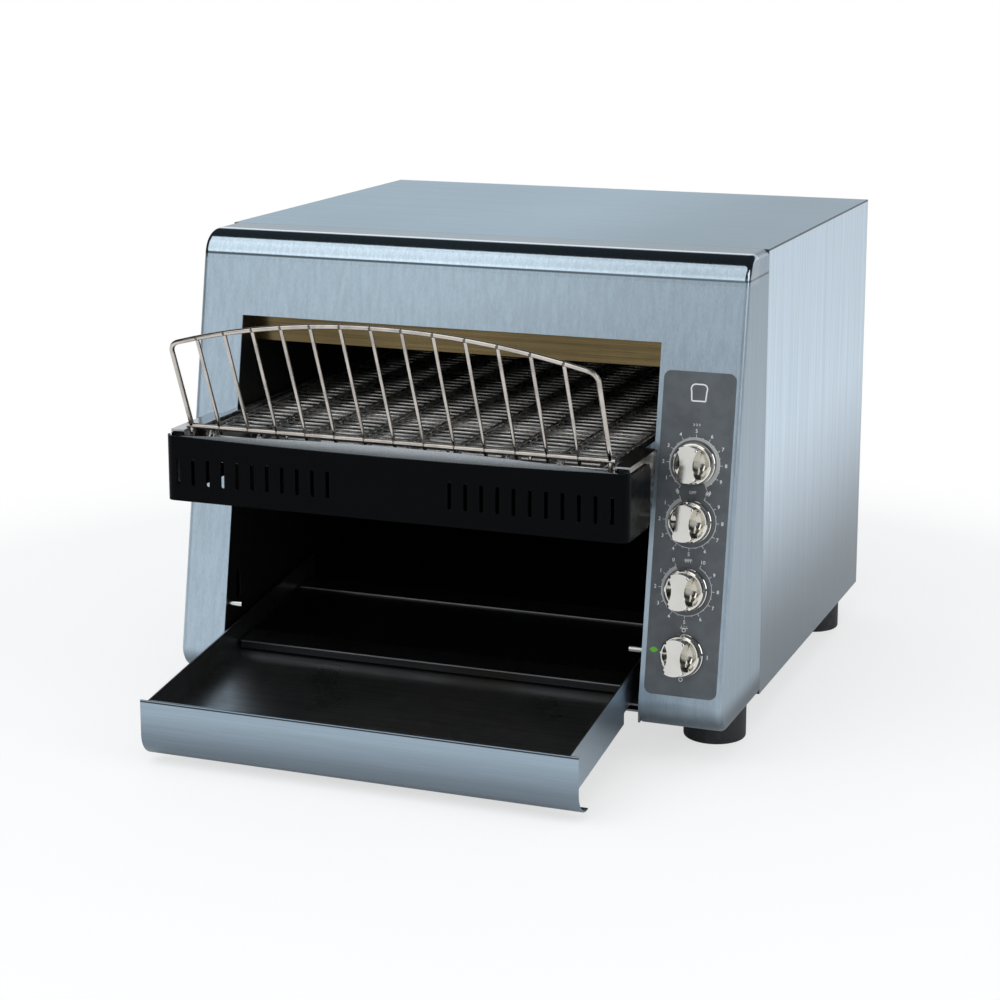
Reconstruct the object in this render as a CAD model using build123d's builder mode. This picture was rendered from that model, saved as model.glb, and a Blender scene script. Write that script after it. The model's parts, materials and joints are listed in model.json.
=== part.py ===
from build123d import *
import os
from math import cos, pi, radians, sin, sqrt, tan

# Conveyor toaster, in millimetres. It stands on the counter at Z = 0 with +Z up, +X to the
# right of someone who faces it and +Y from its front to its back. The origin is under the
# middle of its overall width and depth.

os.makedirs("parts", exist_ok=True)

# ---- Driving dimensions -------------------------------------------------------------------

# Case
CASE_WIDTH = 470.0
CASE_TOP = 396.0
CASE_DEPTH = 413.0         # from the top front edge to the rear panel's outer face
FRONT_LEAN = radians(10.0) # the face comes forward as it goes down
FRONT_RETURN = 54.0        # from the top front edge back to the front panel's seam
SHEET = 1.5
TOP_ROLL = 22.0
BOTTOM_ROLL = 20.0
CHEEK_BEND = 5.0
FLANGE = 14.0
BOTTOM_FLANGE = 60.0
BASE_SETBACK = 28.0        # base pan's front edge, ahead of the top front edge
RIM = 18.0
VENT_CENTRE = -60.0        # rear panel's vent slots, from the middle
VENT_HEIGHT = 205.0
VENT_LENGTH = 62.0
VENT_GAP = 5.0
VENT_COLUMNS = 3
VENT_COLUMN_PITCH = 84.0
VENT_ROWS = 8
VENT_ROW_PITCH = 13.0
BASE_VENT_LENGTH = 31.0

# Feet
FOOT_HEIGHT = 30.0
FOOT_DIAMETER = 50.8
FOOT_BEVEL = 2.0
FOOT_SIDE_INSET = 30.0
FOOT_FRONT_INSET = 29.0
FOOT_REAR_INSET = 57.0
FOOT_SCREW_RADIUS = 3.0
FOOT_SCREW_HEAD_RADIUS = 6.0
FOOT_SCREW_SEAT = 12.0     # screw head's bearing face above the counter

# Opening and oven
LEFT_LEG = 40.0            # case's left side to the opening
CONTROL_BAY = 67.0         # opening to the case's right side
OPENING_TOP = 328.5
WALL_TOP = 352.0
OVEN_REAR_GAP = 37.0       # oven's rear wall to the rear panel
ROOF_HEIGHT = 331.0
BAFFLE_SETBACK = 12.0
BAFFLE_BOTTOM = 304.5
INSULATION = 18.0
INSULATION_ROUND = 4.5
TUBE_DIAMETER = 9.5
UPPER_TUBE_COUNT = 4
UPPER_TUBE_HEIGHT = 316.0
LOWER_TUBE_COUNT = 3
TUBE_ZONE_START = 55.0     # first quartz tube, behind the top front edge
TUBE_ZONE_END = 260.0
CAP_DIAMETER = 16.0
CAP_LENGTH = 15.0
REFLECTOR_DROP = 24.0      # reflector's underside below the lower tubes' axes
REFLECTOR_LIP = 4.5

# Conveyor
BELT_TOP = 250.0
BELT_GAP = 8.5             # belt's edge to the opening's edge
ROD_DIAMETER = 2.4
ROD_PITCH = 12.7
STRIP_COUNT = 5
STRIP_WIDTH = 5.0
LINK_GAUGE = 1.7           # thickness of the belt's link strips
DRIVE_TEETH = 7
TURN_RADIUS = 14.0         # from a shaft's axis to the belt rods' centres
SHAFT_DIAMETER = 12.0
IDLER_REACH = 83.0         # idler shaft, ahead of the top front edge
DRIVE_SETBACK = 292.0      # drive shaft, behind the top front edge
SIDE_DROP = 52.0           # depth of the conveyor sides outside the case
SIDE_RISE = 3.0            # conveyor sides above the belt
SIDE_DEPTH = 32.0          # depth of the conveyor sides inside the case
RAIL_WIDTH = 5.0
BRACKET_DROP = 45.0        # conveyor brackets' lower edge below the rail
BRACKET_TOP_REACH = 52.0   # their rear edge, ahead of the top front edge
BRACKET_LOW_REACH = 65.0
BUSH_RADIUS = 9.0
BUSH_LENGTH = 7.0

# Shield, lip and loading ledge
SHIELD_REACH = 129.5
SHIELD_BOTTOM = 197.0
SHIELD_TOP = 249.5
SHIELD_SIDE_REACH = 73.0   # where its sides end, ahead of the top front edge
SHIELD_SIDE_STEP = 2.0
SHIELD_BEND = 8.0
SHIELD_SPREAD = 11.5       # its sides, outside the opening's edges
SHIELD_SAG = 2.5           # its top edge at the middle
SLOT_COUNT = 11
SLOT_PITCH = 13.0
SLOT_WIDTH = 3.0
SLOT_LENGTH = 21.5
SLOT_HEIGHT = 221.0
SLOT_END_INSET = 12.0      # last slot, from the shield's side
LIP_TOP = 247.5
LIP_CROWN = 6.0
LIP_SETBACK = 8.0          # lip's front behind the shield's front
LIP_OVERHANG = 4.5         # lip's ends, outside the opening's edges
LIP_DEPTH = 10.0
LIP_GAUGE = 1.0
LEDGE_DEPTH = 20.0
LEDGE_HEIGHT = 240.0

# Wire guard
GUARD_WIRE = 4.0
GUARD_BASE_WIRE = 4.4
GUARD_ROD = 3.0
GUARD_PEG = 3.6
GUARD_SIDE_GAP = 4.5       # guard's outside to the opening's edge
GUARD_REACH = 116.0
GUARD_BASE_HEIGHT = 256.0
GUARD_LEAN = radians(24.0)
GUARD_END_RISE = 78.0
GUARD_CROWN = 27.0
GUARD_CORNER = 10.0
GUARD_INNER_RODS = 13
GUARD_TAIL = 6.0
GUARD_LEG = 22.0            # pegs, below the base wire's centre
GUARD_LOOP_WIRE = 2.5
GUARD_LOOPS = ((-105.0, -34.0), (31.0, 98.0))
SOCKET_WALL = 2.0
SOCKET_LENGTH = 12.0

# Tray and product slide
TRAY_REACH = 201.5
TRAY_SIDE_GAP = 7.0
TRAY_SKIRT = 9.0           # tray's side walls below its floor, ahead of the case
SKIRT_REACH = 75.0
TRAY_SHEET = 1.2
TRAY_SLOPE = radians(8.0)
TRAY_FRONT_HEIGHT = 28.5   # underside of the tray's floor at its apron
TRAY_WALL = 25.5
TRAY_REAR = 100.0          # tray's rear edge, behind the top front edge
APRON_OVERHANG = 6.5
APRON_GAUGE = 1.5
APRON_ROLL = 19.0
APRON_LIP = 3.0
HEM = 5.0
RUNNER_WIDTH = 15.0
PIN_DIAMETER = 5.0
PIN_LENGTH = 12.0
PIN_HEIGHT = 90.0
PIN_REACH = 47.0
WALL_SLOT_REACH = 30.0
WALL_SLOT_LENGTH = 25.0
WALL_SLOT_WIDTH = 8.0
SLIDE_REACH = 48.0
SLIDE_RISE = 5.5           # slide's underside above the tray's floor
SLIDE_BEND_SETBACK = 235.0
SLIDE_BEND = 60.0
SLIDE_END_HEIGHT = 205.0
STRIP_BAND = 22.0
STRIP_GAUGE = 1.0
SECOND_STRIP_SETBACK = 66.0

# Controls
OVERLAY_WIDTH = 58.0
OVERLAY_INSET = 34.0       # its middle, from the case's right side
OVERLAY_HEAD = 70.0        # its top edge above the speed dial
OVERLAY_FOOT = 32.0        # its bottom edge below the power dial
OVERLAY_GAUGE = 0.8
OVERLAY_CORNER = 6.0
SPEED_HEIGHT = 238.0
SPEED_TO_TOP_HEAT = 44.5
TOP_TO_BOTTOM_HEAT = 52.0
BOTTOM_HEAT_TO_POWER = 50.0
KNOB_RADIUS = 17.0
KNOB_SKIRT = 8.0
KNOB_TAPER = 8.0           # degrees
KNOB_ROUND = 1.6
KNOB_HEIGHT = 24.0
KNOB_GAP = 0.5
GRIP_WIDTH = 17.0
GRIP_WAIST = 2.6
SPINDLE_RADIUS = 3.0
SPINDLE_LENGTH = 17.0      # in front of the face
BUSHING_RADIUS = 5.0
BUSHING_LENGTH = 3.0
CONTROL_SIZE = 40.0
CONTROL_DEPTH = 30.0
POT_RADIUS = 14.0
POT_DEPTH = 18.0

# Drive
SPROCKET_RADIUS = 15.0
SPROCKET_WIDTH = 5.0
SPROCKET_TEETH = 12
GULLET_RADIUS = 2.3
CHAIN_THICKNESS = 4.0
CHAIN_WIDTH = 6.0
CHAIN_PLANE = 10.0         # chain's centre line, outside the right inner wall's inner face
MOTOR_DROP = 103.0
MOTOR_SHAFT_RADIUS = 4.0
GEARBOX = (28.0, 56.0, 66.0)
BRACKET_STANDOFF = 14.0
MOTOR_CAN_RADIUS = 20.0
MOTOR_CAN_LENGTH = 88.0

# Fan
FAN_SIZE = 60.0
FAN_DEPTH = 25.0
FAN_DUCT_RADIUS = 28.0
FAN_HUB_RADIUS = 12.0
FAN_PIN_RADIUS = 1.5
FAN_BLADES = 7
FAN_PITCH = 35.0           # degrees, of its blades
FAN_TIP_GAP = 4.5
STATOR_DEPTH = 4.0
FAN_HEIGHT = 312.0
GRILLE_SLOTS = 5
GRILLE_LENGTH = 36.0
GRILLE_PITCH = 9.5

# Mains entry
GLAND_REACH = 12.0
GLAND_RADIUS = 11.0
GLAND_NUT = 6.0
GLAND_NECK_RADIUS = 8.8
GLAND_ROUND = 1.8
GLAND_HEIGHT = 84.0
CORD_HOLE_RADIUS = 4.5
TERMINAL = (40.0, 46.0, 20.0)
TERMINAL_COLUMNS = 2
TERMINAL_ROWS = 4
TERMINAL_PITCH = (20.0, 11.5)
TERMINAL_WELL = 6.5

# Fasteners
SCREW_RADIUS = 1.9
SCREW_HEAD_RADIUS = 3.8
SCREW_HEAD_HEIGHT = 2.2
SCREW_HEAD_ROUND = 1.3
SCREW_END_INSET = 42.0     # first and last screw, from the case's bottom and top

# Clearances
FIT = 0.05                 # radial, between a turning piece and what it turns in
SEAT = 0.3                 # between pieces that move against each other
LOOSE = 2.0                # round a hole that a piece only passes through

# ---- Worked-out stations ------------------------------------------------------------------

EDGE_Y = (TRAY_REACH - CASE_DEPTH - GLAND_REACH) / 2   # the case's top front edge
REAR_Y = EDGE_Y + CASE_DEPTH
SEAM_Y = EDGE_Y + FRONT_RETURN
HALF_WIDTH = CASE_WIDTH / 2
BOTTOM = FOOT_HEIGHT
PAN_FLOOR = BOTTOM + SHEET
OPENING = (LEFT_LEG - HALF_WIDTH, HALF_WIDTH - CONTROL_BAY)
OPENING_WIDTH = OPENING[1] - OPENING[0]
OPENING_CENTRE = (OPENING[0] + OPENING[1]) / 2
OVERLAY_CENTRE = HALF_WIDTH - OVERLAY_INSET
BELT_WIDTH = OPENING_WIDTH - 2 * BELT_GAP
TOP_HEAT_HEIGHT = SPEED_HEIGHT - SPEED_TO_TOP_HEAT
BOTTOM_HEAT_HEIGHT = TOP_HEAT_HEIGHT - TOP_TO_BOTTOM_HEAT
POWER_HEIGHT = BOTTOM_HEAT_HEIGHT - BOTTOM_HEAT_TO_POWER
OVEN_REAR_Y = REAR_Y - OVEN_REAR_GAP
LEAN_OUT = (0.0, -cos(FRONT_LEAN), sin(FRONT_LEAN))
BAY_CENTRE = (OPENING[1] + SHEET + HALF_WIDTH - SHEET) / 2
SHAFT_HEIGHT = BELT_TOP - ROD_DIAMETER / 2 - TURN_RADIUS
IDLER_Y = EDGE_Y - IDLER_REACH
DRIVE_Y = EDGE_Y + DRIVE_SETBACK
SIDE_TOP = BELT_TOP + SIDE_RISE
CHAIN_X = OPENING[1] + CHAIN_PLANE
APRON_Y = EDGE_Y - TRAY_REACH + APRON_GAUGE
CUT = 1.0                  # how far a cutting body runs past what it cuts


def face_y(height):
    """Y of the case's front face at a height."""
    return EDGE_Y - (CASE_TOP - height) * tan(FRONT_LEAN)


def on_face(across, height, out=0.0):
    """Plane on the front face, out along its outward normal, with +X across."""
    origin = (across, face_y(height) + out * LEAN_OUT[1], height + out * LEAN_OUT[2])
    return Plane(origin=origin, x_dir=(1, 0, 0), z_dir=LEAN_OUT)


def slab(x_span, y_span, z_span, mode=Mode.ADD):
    """Adds or cuts a box between pairs of faces."""
    spans = (x_span, y_span, z_span)
    with Locations(tuple((low + high) / 2 for low, high in spans)):
        Box(*(high - low for low, high in spans), mode=mode)


def side_slab(x_span, outline, mode=Mode.ADD):
    """Adds or cuts a flat plate with a YZ outline between two X faces."""
    with BuildSketch(Plane.YZ.offset(x_span[0])) as section:
        Polygon(*outline, align=None)
    extrude(section.sketch, amount=x_span[1] - x_span[0], mode=mode)


def bent_sheet(x_span, centre_line, bend, gauge=SHEET):
    """Adds a sheet bent along a YZ centre line between two X faces."""
    with BuildSketch(Plane.YZ.offset(x_span[0])) as section:
        with BuildLine() as line:
            FilletPolyline(*centre_line, radius=bend)
        trace(line.line, line_width=gauge)
    extrude(section.sketch, amount=x_span[1] - x_span[0])


def rod(plane, radius, length, mode=Mode.ADD):
    """Adds or cuts a round bar from a plane along its normal."""
    with BuildSketch(plane) as section:
        Circle(radius)
    extrude(section.sketch, amount=length, mode=mode)


def across_plane(x, y, z):
    """Plane at a point whose normal is +X."""
    return Plane(origin=(x, y, z), x_dir=(0, 1, 0), z_dir=(1, 0, 0))


def back_plane(x, y, z):
    """Plane at a point whose normal is +Y."""
    return Plane(origin=(x, y, z), x_dir=(1, 0, 0), z_dir=(0, 1, 0))


def finish_piece(builder, label):
    """Labels a finished piece and writes it."""
    builder.part.label = label
    export_step(builder.part, f"parts/{label}.step")


def case_outline(inset, rear, top, bottom):
    """Adds the case's side outline, set in from the face, to a YZ sketch."""
    face_inset = inset / cos(FRONT_LEAN)
    Polygon(
        (rear, bottom), (rear, top),
        (face_y(top) + face_inset, top), (face_y(bottom) + face_inset, bottom),
        align=None,
    )


# ---- Case ---------------------------------------------------------------------------------

DIALS = {
    "speed": SPEED_HEIGHT,
    "top_heat": TOP_HEAT_HEIGHT,
    "bottom_heat": BOTTOM_HEAT_HEIGHT,
    "power": POWER_HEIGHT,
}


def cut_bushing_holes(depth_out, depth_in):
    """Cuts the four control bushings' holes through whatever is being built."""
    for height in DIALS.values():
        rod(on_face(OVERLAY_CENTRE, height, -depth_in), BUSHING_RADIUS + FIT,
            depth_in + depth_out, mode=Mode.SUBTRACT)


def front_panel():
    """Leaning front with its cheeks and top flange folded back, open where the food goes."""
    with BuildPart() as panel:
        with BuildSketch(Plane.YZ.offset(-HALF_WIDTH)):
            case_outline(0, SEAM_Y, CASE_TOP, BOTTOM)
        extrude(amount=CASE_WIDTH)
        front_edges = panel.edges().filter_by(Axis.X).sort_by(Axis.Y)[:2].sort_by(Axis.Z)
        fillet(front_edges[0], BOTTOM_ROLL)
        front_edges = panel.edges().filter_by(Axis.X).filter_by_position(
            Axis.Z, CASE_TOP - SHEET, CASE_TOP).sort_by(Axis.Y)
        fillet(front_edges[0], TOP_ROLL)
        rear_face = panel.faces().sort_by(Axis.Y)[-1]
        cheeks = panel.faces().filter_by(Axis.X)
        fillet(cheeks.edges() - rear_face.edges(), CHEEK_BEND)
        offset(amount=-SHEET, openings=panel.faces().sort_by(Axis.Y)[-1])
        slab(OPENING, (face_y(BOTTOM) - BOTTOM_ROLL, SEAM_Y + CUT), (BOTTOM - CUT, OPENING_TOP),
             mode=Mode.SUBTRACT)
        cut_bushing_holes(CUT, SHEET + CUT)
        foot_holes(BOTTOM)
    finish_piece(panel, "front_panel")


FOOT_X = HALF_WIDTH - FOOT_SIDE_INSET
FOOT_ROWS = (EDGE_Y + FOOT_FRONT_INSET, REAR_Y - FOOT_REAR_INSET)
FOOT_PLACES = [(x, y) for y in FOOT_ROWS for x in (-FOOT_X, FOOT_X)]


def foot_holes(height):
    """Cuts the foot screws' holes through a sheet that starts at a height."""
    for x, y in FOOT_PLACES:
        rod(Plane(origin=(x, y, height - CUT)), FOOT_SCREW_RADIUS + FIT, SHEET + 2 * CUT,
            mode=Mode.SUBTRACT)


def side_panel(label, side):
    """Flat side with a top, a rear and a bottom flange turned inwards."""
    outer, inner = side * HALF_WIDTH, side * (HALF_WIDTH - SHEET)

    def inward(width):
        return tuple(sorted((inner, inner - side * width)))

    top, rear = CASE_TOP - SHEET, REAR_Y - SHEET
    with BuildPart() as panel:
        slab(tuple(sorted((outer, inner))), (SEAM_Y, rear), (BOTTOM, top))
        slab(inward(FLANGE), (SEAM_Y, rear), (top - SHEET, top))
        slab(inward(FLANGE), (rear - SHEET, rear), (PAN_FLOOR + SHEET + RIM, top - SHEET))
        slab(inward(BOTTOM_FLANGE), (SEAM_Y, rear), (BOTTOM, PAN_FLOOR))
        foot_holes(BOTTOM)
        for height in SIDE_SCREW_HEIGHTS:
            rod(back_plane(side * SCREW_X, rear - SHEET - CUT, height), SCREW_RADIUS + FIT,
                SHEET + 2 * CUT, mode=Mode.SUBTRACT)
    finish_piece(panel, label)


SCREW_X = HALF_WIDTH - SHEET - FLANGE / 2
SCREW_ENDS = (BOTTOM + SCREW_END_INSET, CASE_TOP - SCREW_END_INSET)
SIDE_SCREW_HEIGHTS = (SCREW_ENDS[0], sum(SCREW_ENDS) / 2, SCREW_ENDS[1])


def top_cover():
    """Flat top, with a tongue that runs in under the front panel's flange."""
    with BuildPart() as cover:
        slab((-HALF_WIDTH, HALF_WIDTH), (SEAM_Y, REAR_Y), (CASE_TOP - SHEET, CASE_TOP))
        inside = HALF_WIDTH - SHEET - FLANGE - SEAT
        slab((-inside, inside), (SEAM_Y - FLANGE, SEAM_Y + FLANGE),
             (CASE_TOP - 2 * SHEET, CASE_TOP - SHEET))
    finish_piece(cover, "top_cover")


def rear_panel():
    """Flat back with vent slots, the fan's grille and the mains cord's hole."""
    with BuildPart() as panel:
        slab((-HALF_WIDTH, HALF_WIDTH), (REAR_Y - SHEET, REAR_Y), (BOTTOM, CASE_TOP - SHEET))
        with BuildSketch(Plane(origin=(VENT_CENTRE, REAR_Y, VENT_HEIGHT), x_dir=(1, 0, 0),
                               z_dir=(0, -1, 0))) as vents:
            with GridLocations(VENT_COLUMN_PITCH, VENT_ROW_PITCH, VENT_COLUMNS, VENT_ROWS):
                SlotOverall(VENT_LENGTH, VENT_GAP)
        extrude(vents.sketch, amount=SHEET, mode=Mode.SUBTRACT)
        fan_back = Plane(origin=(BAY_CENTRE, REAR_Y, FAN_HEIGHT), x_dir=(1, 0, 0),
                         z_dir=(0, -1, 0))
        with BuildSketch(fan_back) as grille:
            with GridLocations(0, GRILLE_PITCH, 1, GRILLE_SLOTS):
                SlotOverall(GRILLE_LENGTH, VENT_GAP)
        extrude(grille.sketch, amount=SHEET, mode=Mode.SUBTRACT)
        rod(back_plane(BAY_CENTRE, REAR_Y - SHEET - CUT, GLAND_HEIGHT),
            GLAND_NECK_RADIUS + FIT, SHEET + 2 * CUT, mode=Mode.SUBTRACT)
        for x in (-SCREW_X, SCREW_X):
            for height in SIDE_SCREW_HEIGHTS:
                rod(back_plane(x, REAR_Y - SHEET - CUT, height), SCREW_RADIUS + FIT,
                    SHEET + 2 * CUT, mode=Mode.SUBTRACT)
    finish_piece(panel, "rear_panel")


def base_pan():
    """Floor of the case, with its side rims turned up."""
    inner = HALF_WIDTH - SHEET
    clear = HALF_WIDTH - CHEEK_BEND - SEAT
    rear = REAR_Y - SHEET
    with BuildPart() as pan:
        slab((-clear, clear), (EDGE_Y - BASE_SETBACK, SEAM_Y), (PAN_FLOOR, PAN_FLOOR + SHEET))
        slab((-inner, inner), (SEAM_Y, rear), (PAN_FLOOR, PAN_FLOOR + SHEET))
        for side in (-1, 1):
            rim = tuple(sorted((side * inner, side * (inner - SHEET))))
            slab(rim, (SEAM_Y, rear), (PAN_FLOOR, PAN_FLOOR + RIM))
        foot_holes(PAN_FLOOR)
        with BuildSketch(Plane(origin=(BAY_CENTRE, (SEAM_Y + REAR_Y) / 2, PAN_FLOOR))) as vents:
            with GridLocations(0, VENT_ROW_PITCH, 1, VENT_ROWS):
                SlotOverall(BASE_VENT_LENGTH, VENT_GAP)
        extrude(vents.sketch, amount=SHEET, mode=Mode.SUBTRACT)
    finish_piece(pan, "base_pan")


def feet():
    """Rubber feet, each with a counterbore for its screw."""
    base = (Align.CENTER, Align.CENTER, Align.MIN)
    with BuildPart() as group:
        with BuildSketch():
            with Locations(*FOOT_PLACES):
                Circle(FOOT_DIAMETER / 2)
        extrude(amount=FOOT_HEIGHT)
        fillet(group.edges().filter_by(GeomType.CIRCLE).group_by(Axis.Z)[0], FOOT_BEVEL)
        with Locations(*FOOT_PLACES):
            Cylinder(FOOT_SCREW_HEAD_RADIUS + FIT, FOOT_SCREW_SEAT, align=base,
                     mode=Mode.SUBTRACT)
            Cylinder(FOOT_SCREW_RADIUS + FIT, FOOT_HEIGHT, align=base, mode=Mode.SUBTRACT)
    finish_piece(group, "feet")


def foot_screws():
    """Four screws up through the feet into the base pan."""
    with BuildPart() as screws:
        with Locations(*((x, y, FOOT_SCREW_SEAT) for x, y in FOOT_PLACES)):
            Cylinder(FOOT_SCREW_HEAD_RADIUS, FOOT_SCREW_RADIUS,
                     align=(Align.CENTER, Align.CENTER, Align.MAX))
            Cylinder(FOOT_SCREW_RADIUS, PAN_FLOOR + 2 * SHEET - FOOT_SCREW_SEAT,
                     align=(Align.CENTER, Align.CENTER, Align.MIN))
    finish_piece(screws, "foot_screws")


def case_screws():
    """Pan-head screws through the rear panel into the side panels' flanges."""
    with BuildPart() as screws:
        for x in (-SCREW_X, SCREW_X):
            for height in SIDE_SCREW_HEIGHTS:
                rod(back_plane(x, REAR_Y, height), SCREW_HEAD_RADIUS, SCREW_HEAD_HEIGHT)
                rod(back_plane(x, REAR_Y - 3 * SHEET, height), SCREW_RADIUS, 3 * SHEET)
        heads = screws.edges().filter_by(GeomType.CIRCLE).group_by(Axis.Y)[-1]
        fillet(heads, SCREW_HEAD_ROUND)
    finish_piece(screws, "case_screws")


# ---- Oven ---------------------------------------------------------------------------------

TUBE_STEP = (TUBE_ZONE_END - TUBE_ZONE_START) / (UPPER_TUBE_COUNT - 1)
LOWER_TUBE_STEP = (TUBE_ZONE_END - TUBE_ZONE_START) / (LOWER_TUBE_COUNT - 1)
UPPER_TUBES = [(EDGE_Y + TUBE_ZONE_START + TUBE_STEP * n, UPPER_TUBE_HEIGHT)
               for n in range(UPPER_TUBE_COUNT)]
LOWER_TUBES = [(EDGE_Y + TUBE_ZONE_START + LOWER_TUBE_STEP * n, SHAFT_HEIGHT)
               for n in range(LOWER_TUBE_COUNT)]


def cut_tube_holes(x_start, length, tubes):
    """Cuts the ceramic caps' holes, which run along X."""
    for y, z in tubes:
        rod(across_plane(x_start, y, z), CAP_DIAMETER / 2 + FIT, length, mode=Mode.SUBTRACT)


def inner_wall(label, side):
    """Wall between the oven and the case's side, following the leaning face."""
    edge = OPENING[1] if side > 0 else OPENING[0]
    x_span = tuple(sorted((edge, edge + side * SHEET)))
    with BuildPart() as wall:
        with BuildSketch(Plane.YZ.offset(x_span[0])) as section:
            case_outline(SHEET, OVEN_REAR_Y, WALL_TOP, PAN_FLOOR + SHEET)
            front_corner = section.vertices().group_by(Axis.Y)[0]
            fillet(front_corner, BOTTOM_ROLL)
        extrude(amount=SHEET)
        start = x_span[0] - CUT
        cut_tube_holes(start, SHEET + 2 * CUT, UPPER_TUBES + LOWER_TUBES)
        rod(across_plane(start, EDGE_Y - PIN_REACH, PIN_HEIGHT), PIN_DIAMETER / 2 + FIT,
            SHEET + 2 * CUT, mode=Mode.SUBTRACT)
        slot_plane = across_plane(start, EDGE_Y - WALL_SLOT_REACH,
                                  PIN_HEIGHT + WALL_SLOT_LENGTH / 2)
        with BuildSketch(slot_plane) as slot:
            SlotOverall(WALL_SLOT_LENGTH, WALL_SLOT_WIDTH, rotation=90)
        extrude(slot.sketch, amount=SHEET + 2 * CUT, mode=Mode.SUBTRACT)
        if side > 0:
            rod(across_plane(start, DRIVE_Y, SHAFT_HEIGHT), SHAFT_DIAMETER / 2 + LOOSE,
                SHEET + 2 * CUT, mode=Mode.SUBTRACT)
    finish_piece(wall, label)


def oven_roof():
    """Bright roof over the food, turned down behind the opening as a heat baffle."""
    front = EDGE_Y + BAFFLE_SETBACK
    with BuildPart() as roof:
        bent_sheet(OPENING, [(front, BAFFLE_BOTTOM), (front, ROOF_HEIGHT),
                             (OVEN_REAR_Y, ROOF_HEIGHT)], 2 * SHEET)
    finish_piece(roof, "oven_roof")


def oven_rear_wall():
    """Rear wall of the oven, from the base pan to the roof."""
    with BuildPart() as wall:
        slab((OPENING[0] - SHEET, OPENING[1] + SHEET), (OVEN_REAR_Y, OVEN_REAR_Y + SHEET),
             (PAN_FLOOR + SHEET, WALL_TOP))
    finish_piece(wall, "oven_rear_wall")


def roof_insulation():
    """Fibre blanket on the oven's roof."""
    low = ROOF_HEIGHT + SHEET / 2
    with BuildPart() as blanket:
        slab(OPENING, (EDGE_Y + BAFFLE_SETBACK + FLANGE, OVEN_REAR_Y), (low, low + INSULATION))
        fillet(blanket.faces().sort_by(Axis.Z)[-1].edges(), INSULATION_ROUND)
    finish_piece(blanket, "roof_insulation")


def lower_reflector():
    """Tray-shaped reflector under the lower tubes and the belt's return run."""
    front = EDGE_Y + TUBE_ZONE_START - TUBE_STEP / 2
    rear = EDGE_Y + TUBE_ZONE_END + FLANGE
    low = SHAFT_HEIGHT - REFLECTOR_DROP
    with BuildPart() as plate:
        slab(OPENING, (front, rear), (low, low + SHEET))
        slab(OPENING, (front, front + SHEET), (low, low + REFLECTOR_LIP))
    finish_piece(plate, "lower_reflector")


def quartz_tubes(label, tubes):
    """Heating tubes across the oven, between their ceramic caps."""
    with BuildPart() as group:
        for y, z in tubes:
            rod(across_plane(OPENING[0] - SHEET, y, z), TUBE_DIAMETER / 2,
                OPENING_WIDTH + 2 * SHEET)
    finish_piece(group, label)


def element_caps():
    """Ceramic caps on the tubes' ends, outside the inner walls."""
    with BuildPart() as caps:
        for y, z in UPPER_TUBES + LOWER_TUBES:
            for x in (OPENING[0] - SHEET - CAP_LENGTH, OPENING[1] + SHEET):
                rod(across_plane(x, y, z), CAP_DIAMETER / 2, CAP_LENGTH)
            for x in (OPENING[0] - SHEET, OPENING[1]):
                rod(across_plane(x, y, z), CAP_DIAMETER / 2, SHEET)
                rod(across_plane(x, y, z), TUBE_DIAMETER / 2, SHEET, mode=Mode.SUBTRACT)
    finish_piece(caps, "element_caps")


# ---- Conveyor -----------------------------------------------------------------------------

SHIELD_Y = EDGE_Y - SHIELD_REACH
LIP_Y = SHIELD_Y + LIP_SETBACK
LEDGE_Y = LIP_Y + LIP_GAUGE
LEDGE_REAR_Y = LEDGE_Y + LEDGE_DEPTH


def conveyor_side(label, side):
    """Side of the conveyor, with a rail along its top that turns out into a bracket."""
    edge = OPENING[1] if side > 0 else OPENING[0]
    inner = edge - side * SHEET
    x_span = tuple(sorted((edge, inner)))
    outside = edge + side * (SHIELD_SPREAD - SHEET)
    front = LEDGE_Y + SEAT
    step = face_y(SIDE_TOP - SIDE_DEPTH)
    rear = DRIVE_Y + TURN_RADIUS + BUSH_RADIUS
    low, inside_low = SIDE_TOP - SIDE_DROP, SIDE_TOP - SIDE_DEPTH
    with BuildPart() as plate:
        side_slab(x_span, [(front, low), (face_y(low), low), (step, inside_low),
                           (rear, inside_low), (rear, SIDE_TOP), (front, SIDE_TOP)])
        rail = tuple(sorted((inner, inner - side * RAIL_WIDTH)))
        slab(rail, (LEDGE_REAR_Y + SEAT, rear), (SIDE_TOP - SHEET, SIDE_TOP))
        bracket_low = SIDE_TOP - BRACKET_DROP
        rear_edge = (EDGE_Y - BRACKET_TOP_REACH, EDGE_Y - BRACKET_LOW_REACH)
        slab(tuple(sorted((edge, outside))), (front, rear_edge[0]), (SIDE_TOP - SHEET, SIDE_TOP))
        side_slab(tuple(sorted((outside, outside - side * SHEET))),
                  [(front, bracket_low), (rear_edge[1], bracket_low),
                   (rear_edge[0], SIDE_TOP), (front, SIDE_TOP)])
        start, length = x_span[0] - CUT, SHEET + 2 * CUT
        for y in (IDLER_Y, DRIVE_Y):
            rod(across_plane(start, y, SHAFT_HEIGHT), BUSH_RADIUS + FIT, length,
                mode=Mode.SUBTRACT)
        cut_tube_holes(start, length, LOWER_TUBES)
    finish_piece(plate, label)


def shaft_bushes():
    """Flanged bronze bushes that carry both shafts in the conveyor's sides."""
    with BuildPart() as bushes:
        for y in (IDLER_Y, DRIVE_Y):
            for x in (OPENING[0], OPENING[1] - BUSH_LENGTH):
                rod(across_plane(x, y, SHAFT_HEIGHT), BUSH_RADIUS, BUSH_LENGTH)
                rod(across_plane(x, y, SHAFT_HEIGHT), SHAFT_DIAMETER / 2 + FIT, BUSH_LENGTH,
                    mode=Mode.SUBTRACT)
    finish_piece(bushes, "shaft_bushes")


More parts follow.
